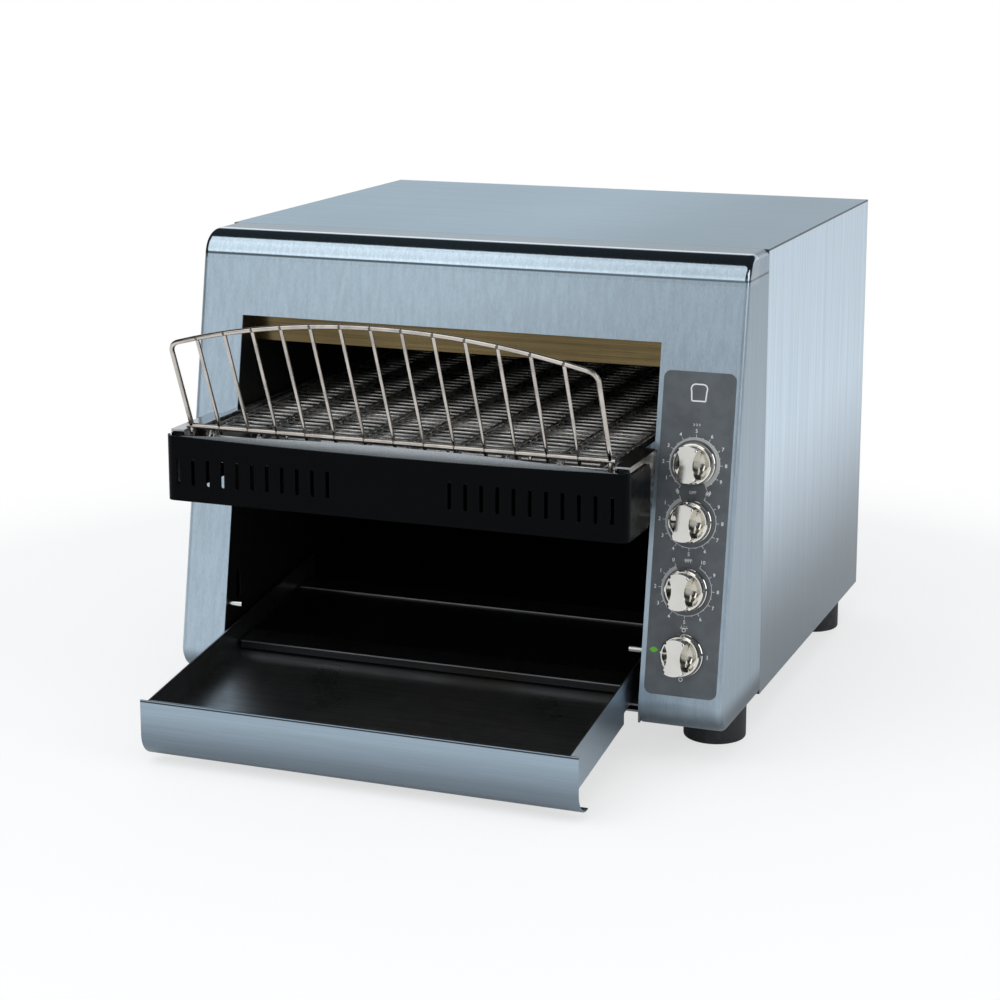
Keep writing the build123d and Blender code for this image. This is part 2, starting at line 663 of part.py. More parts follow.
def shafts():
    """Front idler shaft, and rear drive shaft that runs on to the chain's sprocket."""
    radius = SHAFT_DIAMETER / 2
    left = OPENING[0] + SEAT
    ends = {
        "idler_shaft": (IDLER_Y, OPENING[1] - SEAT),
        "drive_shaft": (DRIVE_Y, CHAIN_X + SPROCKET_WIDTH),
    }
    for label, (y, right) in ends.items():
        with BuildPart() as shaft:
            rod(across_plane(left, y, SHAFT_HEIGHT), radius, right - left)
            chamfer(shaft.edges().filter_by(GeomType.CIRCLE), SHEET / 2)
        finish_piece(shaft, label)


STRIP_STEP = (BELT_WIDTH - STRIP_WIDTH) / (STRIP_COUNT - 1)
STRIPS = [OPENING_CENTRE - BELT_WIDTH / 2 + STRIP_STEP * n for n in range(STRIP_COUNT)]
BELT_RUN = DRIVE_Y - IDLER_Y
BELT_LENGTH = 2 * BELT_RUN + 2 * pi * TURN_RADIUS
ROD_COUNT = round(BELT_LENGTH / ROD_PITCH)


def wheels(label, y, teeth):
    """Wheels on a shaft, one under each of the belt's link strips."""
    outer = TURN_RADIUS - ROD_DIAMETER / 2 - SEAT
    with BuildPart() as group:
        for x in STRIPS:
            rod(across_plane(x, y, SHAFT_HEIGHT), outer, STRIP_WIDTH)
            rod(across_plane(x, y, SHAFT_HEIGHT), SHAFT_DIAMETER / 2 + FIT, STRIP_WIDTH,
                mode=Mode.SUBTRACT)
            if teeth:
                with BuildSketch(across_plane(x, y, SHAFT_HEIGHT)) as gullets:
                    with PolarLocations(outer, teeth):
                        Circle(ROD_DIAMETER)
                extrude(gullets.sketch, amount=STRIP_WIDTH, mode=Mode.SUBTRACT)
    finish_piece(group, label)


def belt_point(travel):
    """Y and Z of the belt's centre line after some travel from the top of the idler."""
    turn = pi * TURN_RADIUS
    travel %= BELT_LENGTH
    if travel < BELT_RUN:
        return IDLER_Y + travel, SHAFT_HEIGHT + TURN_RADIUS
    travel -= BELT_RUN
    if travel < turn:
        angle = travel / TURN_RADIUS
        return DRIVE_Y + TURN_RADIUS * sin(angle), SHAFT_HEIGHT + TURN_RADIUS * cos(angle)
    travel -= turn
    if travel < BELT_RUN:
        return DRIVE_Y - travel, SHAFT_HEIGHT - TURN_RADIUS
    angle = (travel - BELT_RUN) / TURN_RADIUS
    return IDLER_Y - TURN_RADIUS * sin(angle), SHAFT_HEIGHT - TURN_RADIUS * cos(angle)


def link_strip(x):
    """Adds one of the belt's link strips, a closed band round both shafts."""
    outer, inner = TURN_RADIUS + LINK_GAUGE / 2, TURN_RADIUS - LINK_GAUGE / 2
    with BuildSketch(Plane.YZ.offset(x)) as band:
        with Locations(((IDLER_Y + DRIVE_Y) / 2, SHAFT_HEIGHT)):
            SlotOverall(BELT_RUN + 2 * outer, 2 * outer)
            SlotOverall(BELT_RUN + 2 * inner, 2 * inner, mode=Mode.SUBTRACT)
    extrude(band.sketch, amount=STRIP_WIDTH)


def conveyor_belt():
    """Endless belt of cross rods held by link strips."""
    step = BELT_LENGTH / ROD_COUNT
    with BuildPart() as belt:
        for x in STRIPS:
            link_strip(x)
        with BuildSketch(Plane.YZ.offset(OPENING_CENTRE - BELT_WIDTH / 2)) as ends:
            with Locations(*(belt_point(step * n) for n in range(ROD_COUNT))):
                Circle(ROD_DIAMETER / 2)
        extrude(ends.sketch, amount=BELT_WIDTH)
    finish_piece(belt, "conveyor_belt")


# ---- Shield, lip, ledge and wire guard ----------------------------------------------------

LIP_HALF = OPENING_WIDTH / 2 + LIP_OVERHANG
LEDGE_HALF = OPENING_WIDTH / 2 - SHEET - SEAT


def front_plane(height, depth=0.0):
    """Plane at the opening's centre, some depth behind the shield's front, facing forward."""
    return Plane(origin=(OPENING_CENTRE, SHIELD_Y + depth, height), x_dir=(1, 0, 0),
                 z_dir=(0, -1, 0))


def burn_guard():
    """Black slotted shield across the conveyor's front, folded back onto its brackets."""
    left, right = OPENING[0] - SHIELD_SPREAD, OPENING[1] + SHIELD_SPREAD
    group = (right - left) / 2 - SLOT_END_INSET - SLOT_PITCH * (SLOT_COUNT - 1) / 2
    rear = EDGE_Y - SHIELD_SIDE_REACH
    with BuildPart() as guard:
        with BuildSketch(Plane.XY.offset(SHIELD_BOTTOM)) as plan:
            Polygon((left, rear), (left, SHIELD_Y), (right, SHIELD_Y), (right, rear), align=None)
            fillet(plan.vertices().group_by(Axis.Y)[0], SHIELD_BEND)
            inner_left, inner_right, inner_front = left + SHEET, right - SHEET, SHIELD_Y + SHEET
            with BuildSketch(mode=Mode.SUBTRACT) as hollow:
                Polygon((inner_left, rear), (inner_left, inner_front),
                        (inner_right, inner_front), (inner_right, rear), align=None)
                fillet(hollow.vertices().group_by(Axis.Y)[0], SHIELD_BEND - SHEET)
        extrude(amount=SHIELD_TOP - SHIELD_BOTTOM)
        behind_bend = SHIELD_Y + SHIELD_BEND
        slab((left - CUT, right + CUT), (behind_bend, rear + CUT),
             (SHIELD_TOP - SHIELD_SIDE_STEP, SHIELD_TOP + CUT), mode=Mode.SUBTRACT)
        rear_corners = guard.edges().filter_by(Axis.X).filter_by_position(
            Axis.Y, rear - CUT, rear + CUT)
        fillet(rear_corners, SHIELD_BEND)
        with BuildSketch(front_plane(SLOT_HEIGHT)) as slots:
            with GridLocations(2 * group, 0, 2, 1):
                with GridLocations(SLOT_PITCH, 0, SLOT_COUNT, 1):
                    SlotOverall(SLOT_LENGTH, SLOT_WIDTH, rotation=90)
        extrude(slots.sketch, amount=-SHEET, mode=Mode.SUBTRACT)
        with BuildSketch(front_plane(SHIELD_TOP)) as dip:
            with BuildLine():
                sag = ThreePointArc((-LIP_HALF, 0), (0, -SHIELD_SAG), (LIP_HALF, 0))
                Polyline(sag @ 1, (LIP_HALF, CUT), (-LIP_HALF, CUT), sag @ 0)
            make_face()
        extrude(dip.sketch, amount=-SHEET, mode=Mode.SUBTRACT)
    finish_piece(guard, "burn_guard")


def front_lip():
    """Bright crowned nose behind the shield's top edge."""
    with BuildPart() as lip:
        with BuildSketch(front_plane(LIP_TOP, LIP_SETBACK)) as outline:
            with BuildLine():
                crown = ThreePointArc((-LIP_HALF, 0), (0, LIP_CROWN), (LIP_HALF, 0))
                Polyline(crown @ 1, (LIP_HALF, -LIP_DEPTH), (-LIP_HALF, -LIP_DEPTH), crown @ 0)
            make_face()
        extrude(outline.sketch, amount=-LIP_GAUGE)
    finish_piece(lip, "front_lip")


GUARD_SPAN = OPENING_WIDTH - 2 * GUARD_SIDE_GAP
LEGS = [(OPENING_CENTRE + side * (GUARD_SPAN - GUARD_WIRE) / 2, EDGE_Y - GUARD_REACH)
        for side in (-1, 1)]


def load_ledge():
    """Dark ledge between the lip and the belt, with a welded socket for each guard peg."""
    x_span = (OPENING_CENTRE - LEDGE_HALF, OPENING_CENTRE + LEDGE_HALF)
    front = LEDGE_Y + SHEET / 2
    with BuildPart() as ledge:
        bent_sheet(x_span, [(front, LIP_TOP), (front, LEDGE_HEIGHT),
                            (LEDGE_REAR_Y, LEDGE_HEIGHT)], SHEET)
        for x, y in LEGS:
            low = Plane(origin=(x, y, LEDGE_HEIGHT + SHEET - SOCKET_LENGTH))
            rod(low, GUARD_PEG / 2 + FIT + SOCKET_WALL, SOCKET_LENGTH)
            rod(low, GUARD_PEG / 2 + FIT, SOCKET_LENGTH, mode=Mode.SUBTRACT)
    finish_piece(ledge, "load_ledge")


def wire_guard():
    """Lift-off rack of leaning rods under an arched hoop, on two pegs."""
    half = (GUARD_SPAN - GUARD_WIRE) / 2
    base = (OPENING_CENTRE, EDGE_Y - GUARD_REACH, GUARD_BASE_HEIGHT)
    lean_plane = Plane(origin=base, x_dir=(1, 0, 0),
                       z_dir=(0, -cos(GUARD_LEAN), -sin(GUARD_LEAN)))
    arch_radius = (half**2 + GUARD_CROWN**2) / (2 * GUARD_CROWN)
    with BuildPart() as guard:
        for x, y in LEGS:
            rod(Plane(origin=(x, y, GUARD_BASE_HEIGHT - GUARD_LEG)), GUARD_PEG / 2,
                GUARD_LEG + SEAT)
        rod(across_plane(OPENING_CENTRE - half - GUARD_WIRE, base[1], base[2]),
            GUARD_BASE_WIRE / 2, 2 * (half + GUARD_WIRE))
        low = LEDGE_HEIGHT + SHEET / 2 + SEAT + GUARD_LOOP_WIRE / 2
        for left, right in GUARD_LOOPS:
            with BuildLine(Plane.XZ.offset(-base[1])) as loop:
                FilletPolyline((left, GUARD_BASE_HEIGHT), (left, low), (right, low),
                               (right, GUARD_BASE_HEIGHT), radius=GUARD_LOOP_WIRE)
            with BuildSketch(Plane(origin=loop.line @ 0, z_dir=loop.line % 0)):
                Circle(GUARD_LOOP_WIRE / 2)
            sweep(path=loop.line)
        for n in range(1, GUARD_INNER_RODS + 1):
            across = -half + 2 * half * n / (GUARD_INNER_RODS + 1)
            top = GUARD_END_RISE + GUARD_CROWN - arch_radius + sqrt(arch_radius**2 - across**2)
            foot = lean_plane.from_local_coords((across, -GUARD_TAIL, 0))
            rod(Plane(origin=foot, z_dir=lean_plane.y_dir), GUARD_ROD / 2, top + GUARD_TAIL)
        with BuildLine(lean_plane) as hoop:
            left_post = Line((-half, 0), (-half, GUARD_END_RISE))
            arch = ThreePointArc(left_post @ 1, (0, GUARD_END_RISE + GUARD_CROWN),
                                 (half, GUARD_END_RISE))
            Line(arch @ 1, (half, 0))
            fillet(hoop.vertices().group_by(Axis.Z)[1], GUARD_CORNER)
        with BuildSketch(Plane(origin=hoop.line @ 0, z_dir=hoop.line % 0)):
            Circle(GUARD_WIRE / 2)
        sweep(path=hoop.line)
    finish_piece(guard, "wire_guard")


# ---- Tray and slide -----------------------------------------------------------------------

TRAY_X = (OPENING[0] + TRAY_SIDE_GAP, OPENING[1] - TRAY_SIDE_GAP)
TRAY_REAR_Y = EDGE_Y + TRAY_REAR


def tray_height(y):
    """Height of the underside of the tray's floor at a Y."""
    return TRAY_FRONT_HEIGHT + (y - APRON_Y) * tan(TRAY_SLOPE)


def sloping_band(y_span, low, high):
    """YZ outline that follows the tray's slope, low and high above its underside."""
    start, end = y_span
    return [(start, tray_height(start) + low), (end, tray_height(end) + low),
            (end, tray_height(end) + high), (start, tray_height(start) + high)]


def tray_pan():
    """Sloping pan that catches the toast: a floor and two side walls."""
    y_span = (APRON_Y, TRAY_REAR_Y)
    with BuildPart() as pan:
        side_slab(TRAY_X, sloping_band(y_span, 0, TRAY_SHEET))
        for x in (TRAY_X[0], TRAY_X[1] - TRAY_SHEET):
            side_slab((x, x + TRAY_SHEET), sloping_band(y_span, 0, TRAY_WALL))
            side_slab((x, x + TRAY_SHEET),
                      sloping_band((APRON_Y, EDGE_Y - SKIRT_REACH), -TRAY_SKIRT, 0))
    finish_piece(pan, "tray_pan")


def tray_apron():
    """Brushed front of the tray: hemmed at the top, rolled under at the bottom."""
    x_span = (TRAY_X[0] - APRON_OVERHANG, TRAY_X[1] + APRON_OVERHANG)
    middle = APRON_Y - APRON_GAUGE / 2
    top = TRAY_FRONT_HEIGHT + TRAY_WALL
    low = TRAY_FRONT_HEIGHT - APRON_LIP - APRON_ROLL
    with BuildPart() as apron:
        bent_sheet(x_span, [(middle, top), (middle, low),
                            (middle + APRON_ROLL + APRON_LIP, low)], APRON_ROLL, APRON_GAUGE)
        slab((TRAY_X[0] + TRAY_SHEET + SEAT, TRAY_X[1] - TRAY_SHEET - SEAT),
             (APRON_Y, APRON_Y + APRON_GAUGE), (top - HEM, top))
    finish_piece(apron, "tray_apron")


def tray_runners():
    """Angles on the inner walls that the tray slides on."""
    y_span = (face_y(tray_height(EDGE_Y - SLIDE_REACH)) + 3 * SHEET, TRAY_REAR_Y)
    with BuildPart() as runners:
        for edge, side in zip(OPENING, (-1, 1)):
            side_slab(tuple(sorted((edge, edge - side * RUNNER_WIDTH))),
                      sloping_band(y_span, -SEAT - SHEET, -SEAT))
            side_slab(tuple(sorted((edge, edge - side * SHEET))),
                      sloping_band(y_span, -SEAT - RUNNER_WIDTH, -SEAT))
    finish_piece(runners, "tray_runners")


def tray_hold_pins():
    """Pins in the inner walls that keep the tray's rear end down."""
    with BuildPart() as pins:
        for x in (OPENING[0] - SHEET, OPENING[1] - PIN_LENGTH):
            rod(across_plane(x, EDGE_Y - PIN_REACH, PIN_HEIGHT), PIN_DIAMETER / 2,
                PIN_LENGTH + SHEET)
    finish_piece(pins, "tray_hold_pins")


SLIDE_LOW = TRAY_SHEET + SLIDE_RISE
SLIDE_NARROW = (TRAY_X[0] + TRAY_SHEET + LOOSE, TRAY_X[1] - TRAY_SHEET - LOOSE)


def product_slide():
    """Chute under the belt, down to the tray, with a bent-down front lip."""
    start = EDGE_Y - SLIDE_REACH
    bend = EDGE_Y + SLIDE_BEND_SETBACK
    end = OVEN_REAR_Y - SHEET
    middle = SLIDE_LOW + SHEET / 2
    centre_line = [(start, tray_height(start) + middle), (bend, tray_height(bend) + middle),
                   (end, SLIDE_END_HEIGHT)]
    with BuildPart() as slide:
        bent_sheet(OPENING, centre_line, SLIDE_BEND)
        side_slab(OPENING, sloping_band((start, start + SHEET), TRAY_SHEET + SHEET,
                                        SLIDE_LOW + SHEET / 2))
        for edge, narrow in zip(OPENING, SLIDE_NARROW):
            slab(tuple(sorted((edge, narrow))), (start - SLIDE_RISE, TRAY_REAR_Y + LOOSE),
                 (BOTTOM, PIN_HEIGHT + TRAY_WALL), mode=Mode.SUBTRACT)
    finish_piece(slide, "product_slide")


def slide_strips():
    """Two bright strips across the slide."""
    low = SLIDE_LOW + SHEET / cos(TRAY_SLOPE)
    with BuildPart() as strips:
        for start in (EDGE_Y - SLIDE_REACH, EDGE_Y + SECOND_STRIP_SETBACK):
            side_slab(SLIDE_NARROW,
                      sloping_band((start, start + STRIP_BAND), low, low + STRIP_GAUGE))
    finish_piece(strips, "slide_strips")


# ---- Controls -----------------------------------------------------------------------------

def control_overlay():
    """Printed plate on the right leg of the face."""
    top, bottom = SPEED_HEIGHT + OVERLAY_HEAD, POWER_HEIGHT - OVERLAY_FOOT
    length = (top - bottom) / cos(FRONT_LEAN)
    middle = (top + bottom) / 2
    with BuildPart() as overlay:
        with BuildSketch(on_face(OVERLAY_CENTRE, middle)):
            RectangleRounded(OVERLAY_WIDTH, length, OVERLAY_CORNER)
        extrude(amount=OVERLAY_GAUGE)
        cut_bushing_holes(OVERLAY_GAUGE + CUT, CUT)
    finish_piece(overlay, "control_overlay")


def knob(label, height):
    """Skirted knob with a waisted bar grip."""
    base = OVERLAY_GAUGE + KNOB_GAP
    with BuildPart() as piece:
        with BuildSketch(on_face(OVERLAY_CENTRE, height, base)):
            Circle(KNOB_RADIUS)
        extrude(amount=KNOB_SKIRT, taper=KNOB_TAPER)
        top_edge = piece.faces().sort_by(Axis(on_face(0, height).origin, LEAN_OUT))[-1].edges()
        fillet(top_edge, KNOB_ROUND)
        with BuildSketch(on_face(OVERLAY_CENTRE, height, base)):
            Circle(KNOB_RADIUS - 2 * GRIP_WAIST)
            Rectangle(GRIP_WIDTH, 2 * KNOB_RADIUS, mode=Mode.INTERSECT)
            waist_radius = KNOB_RADIUS**2 / (2 * GRIP_WAIST)
            with Locations((-GRIP_WIDTH / 2 - waist_radius + GRIP_WAIST, 0),
                           (GRIP_WIDTH / 2 + waist_radius - GRIP_WAIST, 0)):
                Circle(waist_radius, mode=Mode.SUBTRACT)
        extrude(amount=KNOB_HEIGHT - KNOB_GAP)
        bore = SPINDLE_LENGTH - base
        rod(on_face(OVERLAY_CENTRE, height, base), BUSHING_RADIUS + 2 * SEAT, BUSHING_LENGTH,
            mode=Mode.SUBTRACT)
        rod(on_face(OVERLAY_CENTRE, height, base), SPINDLE_RADIUS + FIT, bore,
            mode=Mode.SUBTRACT)
    finish_piece(piece, label)


def control_body(label, height, turned):
    """Switch or potentiometer behind the face, with its bushing through the panel."""
    depth = POT_DEPTH if turned else CONTROL_DEPTH
    with BuildPart() as body:
        with BuildSketch(on_face(OVERLAY_CENTRE, height, -SHEET)) as outline:
            if turned:
                Circle(POT_RADIUS)
            else:
                RectangleRounded(CONTROL_SIZE, CONTROL_SIZE, 2 * SHEET)
        extrude(outline.sketch, amount=-depth)
        rod(on_face(OVERLAY_CENTRE, height, -SHEET), BUSHING_RADIUS,
            SHEET + OVERLAY_GAUGE + BUSHING_LENGTH / 2)
        rod(on_face(OVERLAY_CENTRE, height, -SHEET - depth / 2), SPINDLE_RADIUS + FIT,
            depth / 2 + SHEET + OVERLAY_GAUGE + BUSHING_LENGTH, mode=Mode.SUBTRACT)
    finish_piece(body, label)


def spindle(label, height, depth):
    """Round spindle from inside the control to inside the knob."""
    start = -SHEET - depth / 2 + SEAT
    with BuildPart() as piece:
        rod(on_face(OVERLAY_CENTRE, height, start), SPINDLE_RADIUS,
            SPINDLE_LENGTH - SEAT - start)
    finish_piece(piece, label)


def controls():
    """Knob, spindle and control body for each dial."""
    bodies = {"speed": "speed_control", "top_heat": "top_heat_control",
              "bottom_heat": "bottom_heat_control", "power": "power_switch"}
    for dial, height in DIALS.items():
        turned = dial == "speed"
        knob(f"{dial}_knob", height)
        spindle(f"{dial}_spindle", height, POT_DEPTH if turned else CONTROL_DEPTH)
        control_body(bodies[dial], height, turned)


# ---- Drive --------------------------------------------------------------------------------

MOTOR_HEIGHT = SHAFT_HEIGHT - MOTOR_DROP
BRACKET_X = OPENING[1] + SHEET + BRACKET_STANDOFF


def chain_sprocket(label, height, bore):
    """Toothed wheel in the chain's plane."""
    x = CHAIN_X - SPROCKET_WIDTH / 2
    with BuildPart() as wheel:
        rod(across_plane(x, DRIVE_Y, height), SPROCKET_RADIUS, SPROCKET_WIDTH)
        with BuildSketch(across_plane(x, DRIVE_Y, height)) as gullets:
            with PolarLocations(SPROCKET_RADIUS, SPROCKET_TEETH):
                Circle(GULLET_RADIUS)
        extrude(gullets.sketch, amount=SPROCKET_WIDTH, mode=Mode.SUBTRACT)
        rod(across_plane(x, DRIVE_Y, height), bore + FIT, SPROCKET_WIDTH, mode=Mode.SUBTRACT)
    finish_piece(wheel, label)


def drive_chain():
    """Endless chain round both sprockets."""
    inner = SPROCKET_RADIUS + SEAT
    outer = inner + CHAIN_THICKNESS
    with BuildPart() as chain:
        with BuildSketch(Plane.YZ.offset(CHAIN_X - CHAIN_WIDTH / 2)):
            with Locations((DRIVE_Y, SHAFT_HEIGHT - MOTOR_DROP / 2)):
                SlotOverall(MOTOR_DROP + 2 * outer, 2 * outer, rotation=90)
                SlotOverall(MOTOR_DROP + 2 * inner, 2 * inner, rotation=90, mode=Mode.SUBTRACT)
        extrude(amount=CHAIN_WIDTH)
    finish_piece(chain, "drive_chain")


def motor_bracket():
    """Plate that carries the gearmotor, folded back to the inner wall at both ends."""
    wall = OPENING[1] + SHEET
    half_y, half_z = GEARBOX[1] / 2 + SHEET, GEARBOX[2] / 2
    with BuildPart() as bracket:
        slab((BRACKET_X, BRACKET_X + SHEET), (DRIVE_Y - half_y, DRIVE_Y + half_y),
             (MOTOR_HEIGHT - half_z, MOTOR_HEIGHT + half_z))
        for y in (DRIVE_Y - half_y, DRIVE_Y + half_y - SHEET):
            slab((wall, BRACKET_X), (y, y + SHEET), (MOTOR_HEIGHT - half_z, MOTOR_HEIGHT + half_z))
        rod(across_plane(BRACKET_X - CUT, DRIVE_Y, MOTOR_HEIGHT), MOTOR_SHAFT_RADIUS + LOOSE,
            SHEET + 2 * CUT, mode=Mode.SUBTRACT)
    finish_piece(bracket, "motor_bracket")


def drive_motor():
    """Gearbox on the bracket with its motor can lying forward."""
    face = BRACKET_X + SHEET
    with BuildPart() as motor:
        slab((face, face + GEARBOX[0]), (DRIVE_Y - GEARBOX[1] / 2, DRIVE_Y + GEARBOX[1] / 2),
             (MOTOR_HEIGHT - GEARBOX[2] / 2, MOTOR_HEIGHT + GEARBOX[2] / 2))
        fillet(motor.edges().filter_by(Axis.X), 2 * SHEET)
        rod(back_plane(face + MOTOR_CAN_RADIUS, DRIVE_Y - GEARBOX[1] / 2 - MOTOR_CAN_LENGTH,
                       MOTOR_HEIGHT), MOTOR_CAN_RADIUS, MOTOR_CAN_LENGTH + SHEET)
        rod(across_plane(face, DRIVE_Y, MOTOR_HEIGHT), MOTOR_SHAFT_RADIUS + FIT,
            GEARBOX[0] / 2, mode=Mode.SUBTRACT)
    finish_piece(motor, "drive_motor")


def motor_shaft():
    """Output shaft from the gearbox to the motor's sprocket."""
    start = CHAIN_X - SPROCKET_WIDTH / 2
    with BuildPart() as shaft:
        rod(across_plane(start, DRIVE_Y, MOTOR_HEIGHT), MOTOR_SHAFT_RADIUS,
            BRACKET_X + SHEET + GEARBOX[0] / 2 - SEAT - start)
    finish_piece(shaft, "motor_shaft")


# ---- Fan and mains entry ------------------------------------------------------------------

FAN_FRONT_Y = REAR_Y - 2 * SHEET - FAN_DEPTH


def fan_frame():
    """Square fan housing with its stator hub and pin."""
    x, z = BAY_CENTRE, FAN_HEIGHT
    half = FAN_SIZE / 2
    with BuildPart() as frame:
        slab((x - half, x + half), (FAN_FRONT_Y, FAN_FRONT_Y + FAN_DEPTH), (z - half, z + half))
        fillet(frame.edges().filter_by(Axis.Y), 2 * SHEET)
        rod(back_plane(x, FAN_FRONT_Y, z), FAN_DUCT_RADIUS, FAN_DEPTH, mode=Mode.SUBTRACT)
        stator = FAN_FRONT_Y + FAN_DEPTH - STATOR_DEPTH
        rod(back_plane(x, stator, z), FAN_HUB_RADIUS, STATOR_DEPTH)
        with BuildSketch(back_plane(x, stator, z)) as spokes:
            Rectangle(2 * FAN_DUCT_RADIUS + CUT, 2 * SHEET)
            Rectangle(2 * SHEET, 2 * FAN_DUCT_RADIUS + CUT)
        extrude(spokes.sketch, amount=STATOR_DEPTH)
        rod(back_plane(x, FAN_FRONT_Y + STATOR_DEPTH, z), FAN_PIN_RADIUS,
            stator - FAN_FRONT_Y - STATOR_DEPTH)
    finish_piece(frame, "fan_frame")


def fan_rotor():
    """Hub with pitched blades, running on the stator's pin."""
    x, z = BAY_CENTRE, FAN_HEIGHT
    front = FAN_FRONT_Y + SHEET
    depth = FAN_DEPTH - STATOR_DEPTH - 2 * SHEET
    blade_root = FAN_HUB_RADIUS - SHEET
    root = Plane(origin=(x, front + depth / 2, z), x_dir=(0, 1, 0), z_dir=(0, 0, 1))
    with BuildPart() as rotor:
        rod(back_plane(x, front, z), FAN_HUB_RADIUS, depth)
        with BuildSketch(root.rotated((0, 0, FAN_PITCH)).offset(blade_root)) as section:
            RectangleRounded(depth, SHEET, SHEET / 3)
        blade = extrude(section.sketch, amount=FAN_DUCT_RADIUS - FAN_TIP_GAP - blade_root,
                        mode=Mode.PRIVATE)
        for n in range(FAN_BLADES):
            add(blade.rotate(Axis((x, 0, z), (0, 1, 0)), 360 * n / FAN_BLADES))
        rod(back_plane(x, front - CUT, z), FAN_PIN_RADIUS + FIT, depth + 2 * CUT,
            mode=Mode.SUBTRACT)
    finish_piece(rotor, "fan_rotor")


def terminal_block():
    """Block on the base pan where the mains leads end."""
    low = PAN_FLOOR + SHEET
    middle = REAR_Y - FOOT_REAR_INSET - FOOT_DIAMETER - TERMINAL[1] / 2
    with BuildPart() as block:
        slab((BAY_CENTRE - TERMINAL[0] / 2, BAY_CENTRE + TERMINAL[0] / 2),
             (middle - TERMINAL[1] / 2, middle + TERMINAL[1] / 2), (low, low + TERMINAL[2]))
        with BuildSketch(Plane(origin=(BAY_CENTRE, middle, low + TERMINAL[2]))) as wells:
            with GridLocations(*TERMINAL_PITCH, TERMINAL_COLUMNS, TERMINAL_ROWS):
                Circle(SCREW_HEAD_RADIUS)
        extrude(wells.sketch, amount=-TERMINAL_WELL, mode=Mode.SUBTRACT)
    finish_piece(block, "terminal_block")


def cord_gland():
    """Gland through the rear panel that the mains cord would enter by."""
    inside = REAR_Y - SHEET - GLAND_NUT
    with BuildPart() as gland:
        with BuildSketch(back_plane(BAY_CENTRE, REAR_Y, GLAND_HEIGHT)) as nut:
            RegularPolygon(GLAND_RADIUS, 6)
        extrude(nut.sketch, amount=GLAND_NUT)
        rod(back_plane(BAY_CENTRE, inside, GLAND_HEIGHT), GLAND_NECK_RADIUS,
            REAR_Y + GLAND_REACH - inside)
        mouth = gland.edges().filter_by(GeomType.CIRCLE).sort_by(Axis.Y)[-1]
        fillet(mouth, GLAND_ROUND)
        rod(back_plane(BAY_CENTRE, inside - CUT, GLAND_HEIGHT), CORD_HOLE_RADIUS,
            REAR_Y + GLAND_REACH - inside + 2 * CUT, mode=Mode.SUBTRACT)
    finish_piece(gland, "cord_gland")


# ---- Build --------------------------------------------------------------------------------

front_panel()
for side_name, side_sign in (("left", -1), ("right", 1)):
    side_panel(f"side_panel_{side_name}", side_sign)
    inner_wall(f"inner_wall_{side_name}", side_sign)
    conveyor_side(f"conveyor_side_{side_name}", side_sign)
top_cover()
rear_panel()
base_pan()
feet()
foot_screws()
case_screws()
oven_roof()
oven_rear_wall()
roof_insulation()
lower_reflector()
quartz_tubes("upper_quartz_tubes", UPPER_TUBES)
quartz_tubes("lower_quartz_tubes", LOWER_TUBES)
element_caps()
shaft_bushes()
shafts()
wheels("idler_rollers", IDLER_Y, 0)
wheels("drive_sprockets", DRIVE_Y, DRIVE_TEETH)
conveyor_belt()
burn_guard()
front_lip()
load_ledge()
wire_guard()
tray_pan()
tray_apron()
tray_runners()
tray_hold_pins()
product_slide()
slide_strips()
control_overlay()
controls()
chain_sprocket("belt_chain_sprocket", SHAFT_HEIGHT, SHAFT_DIAMETER / 2)
chain_sprocket("motor_chain_sprocket", MOTOR_HEIGHT, MOTOR_SHAFT_RADIUS)
drive_chain()
motor_bracket()
drive_motor()
motor_shaft()
fan_frame()
fan_rotor()
terminal_block()
cord_gland()
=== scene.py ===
"""Dresses a countertop conveyor toaster and models its fine detail.

Everything is in metres in the toaster's own frame: +X to the right of someone who faces it, +Y from
its front to its back, +Z up, and the counter at Z = 0.
"""

from __future__ import annotations

import sys
import json
import logging
import math
from collections.abc import Callable, Iterable, Mapping, Sequence
from dataclasses import dataclass, field
from enum import Enum
from typing import Any

import bmesh
import bpy
from mathutils import Matrix, Vector


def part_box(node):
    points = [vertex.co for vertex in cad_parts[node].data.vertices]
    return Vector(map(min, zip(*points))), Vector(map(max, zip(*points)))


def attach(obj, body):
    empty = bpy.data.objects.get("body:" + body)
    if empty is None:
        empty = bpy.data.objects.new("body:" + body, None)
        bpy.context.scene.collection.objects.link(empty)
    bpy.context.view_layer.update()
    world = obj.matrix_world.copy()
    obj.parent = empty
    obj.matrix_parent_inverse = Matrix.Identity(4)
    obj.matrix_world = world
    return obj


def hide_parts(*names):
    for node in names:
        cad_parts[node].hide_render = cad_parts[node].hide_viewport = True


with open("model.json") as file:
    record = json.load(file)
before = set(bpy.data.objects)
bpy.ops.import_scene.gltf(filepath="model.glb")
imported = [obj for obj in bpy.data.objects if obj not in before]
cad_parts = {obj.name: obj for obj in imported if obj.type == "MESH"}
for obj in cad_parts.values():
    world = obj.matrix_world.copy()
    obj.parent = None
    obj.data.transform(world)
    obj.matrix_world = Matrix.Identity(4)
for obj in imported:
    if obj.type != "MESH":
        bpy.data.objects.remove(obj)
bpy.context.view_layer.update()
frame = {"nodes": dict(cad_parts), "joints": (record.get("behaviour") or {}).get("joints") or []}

LOG = logging.getLogger("toaster")
MM = 0.001
Colour = tuple[float, float, float]


# ---- Shader expressions ---------------------------------------------------------------------


class Sum(Enum):
    """The Math node operations that expressions use."""

    PLUS = "ADD"
    MINUS = "SUBTRACT"
    TIMES = "MULTIPLY"
    OVER = "DIVIDE"
    SIZE = "ABSOLUTE"
    LOWEST = "MINIMUM"
    HIGHEST = "MAXIMUM"
    ANGLE = "ARCTAN2"


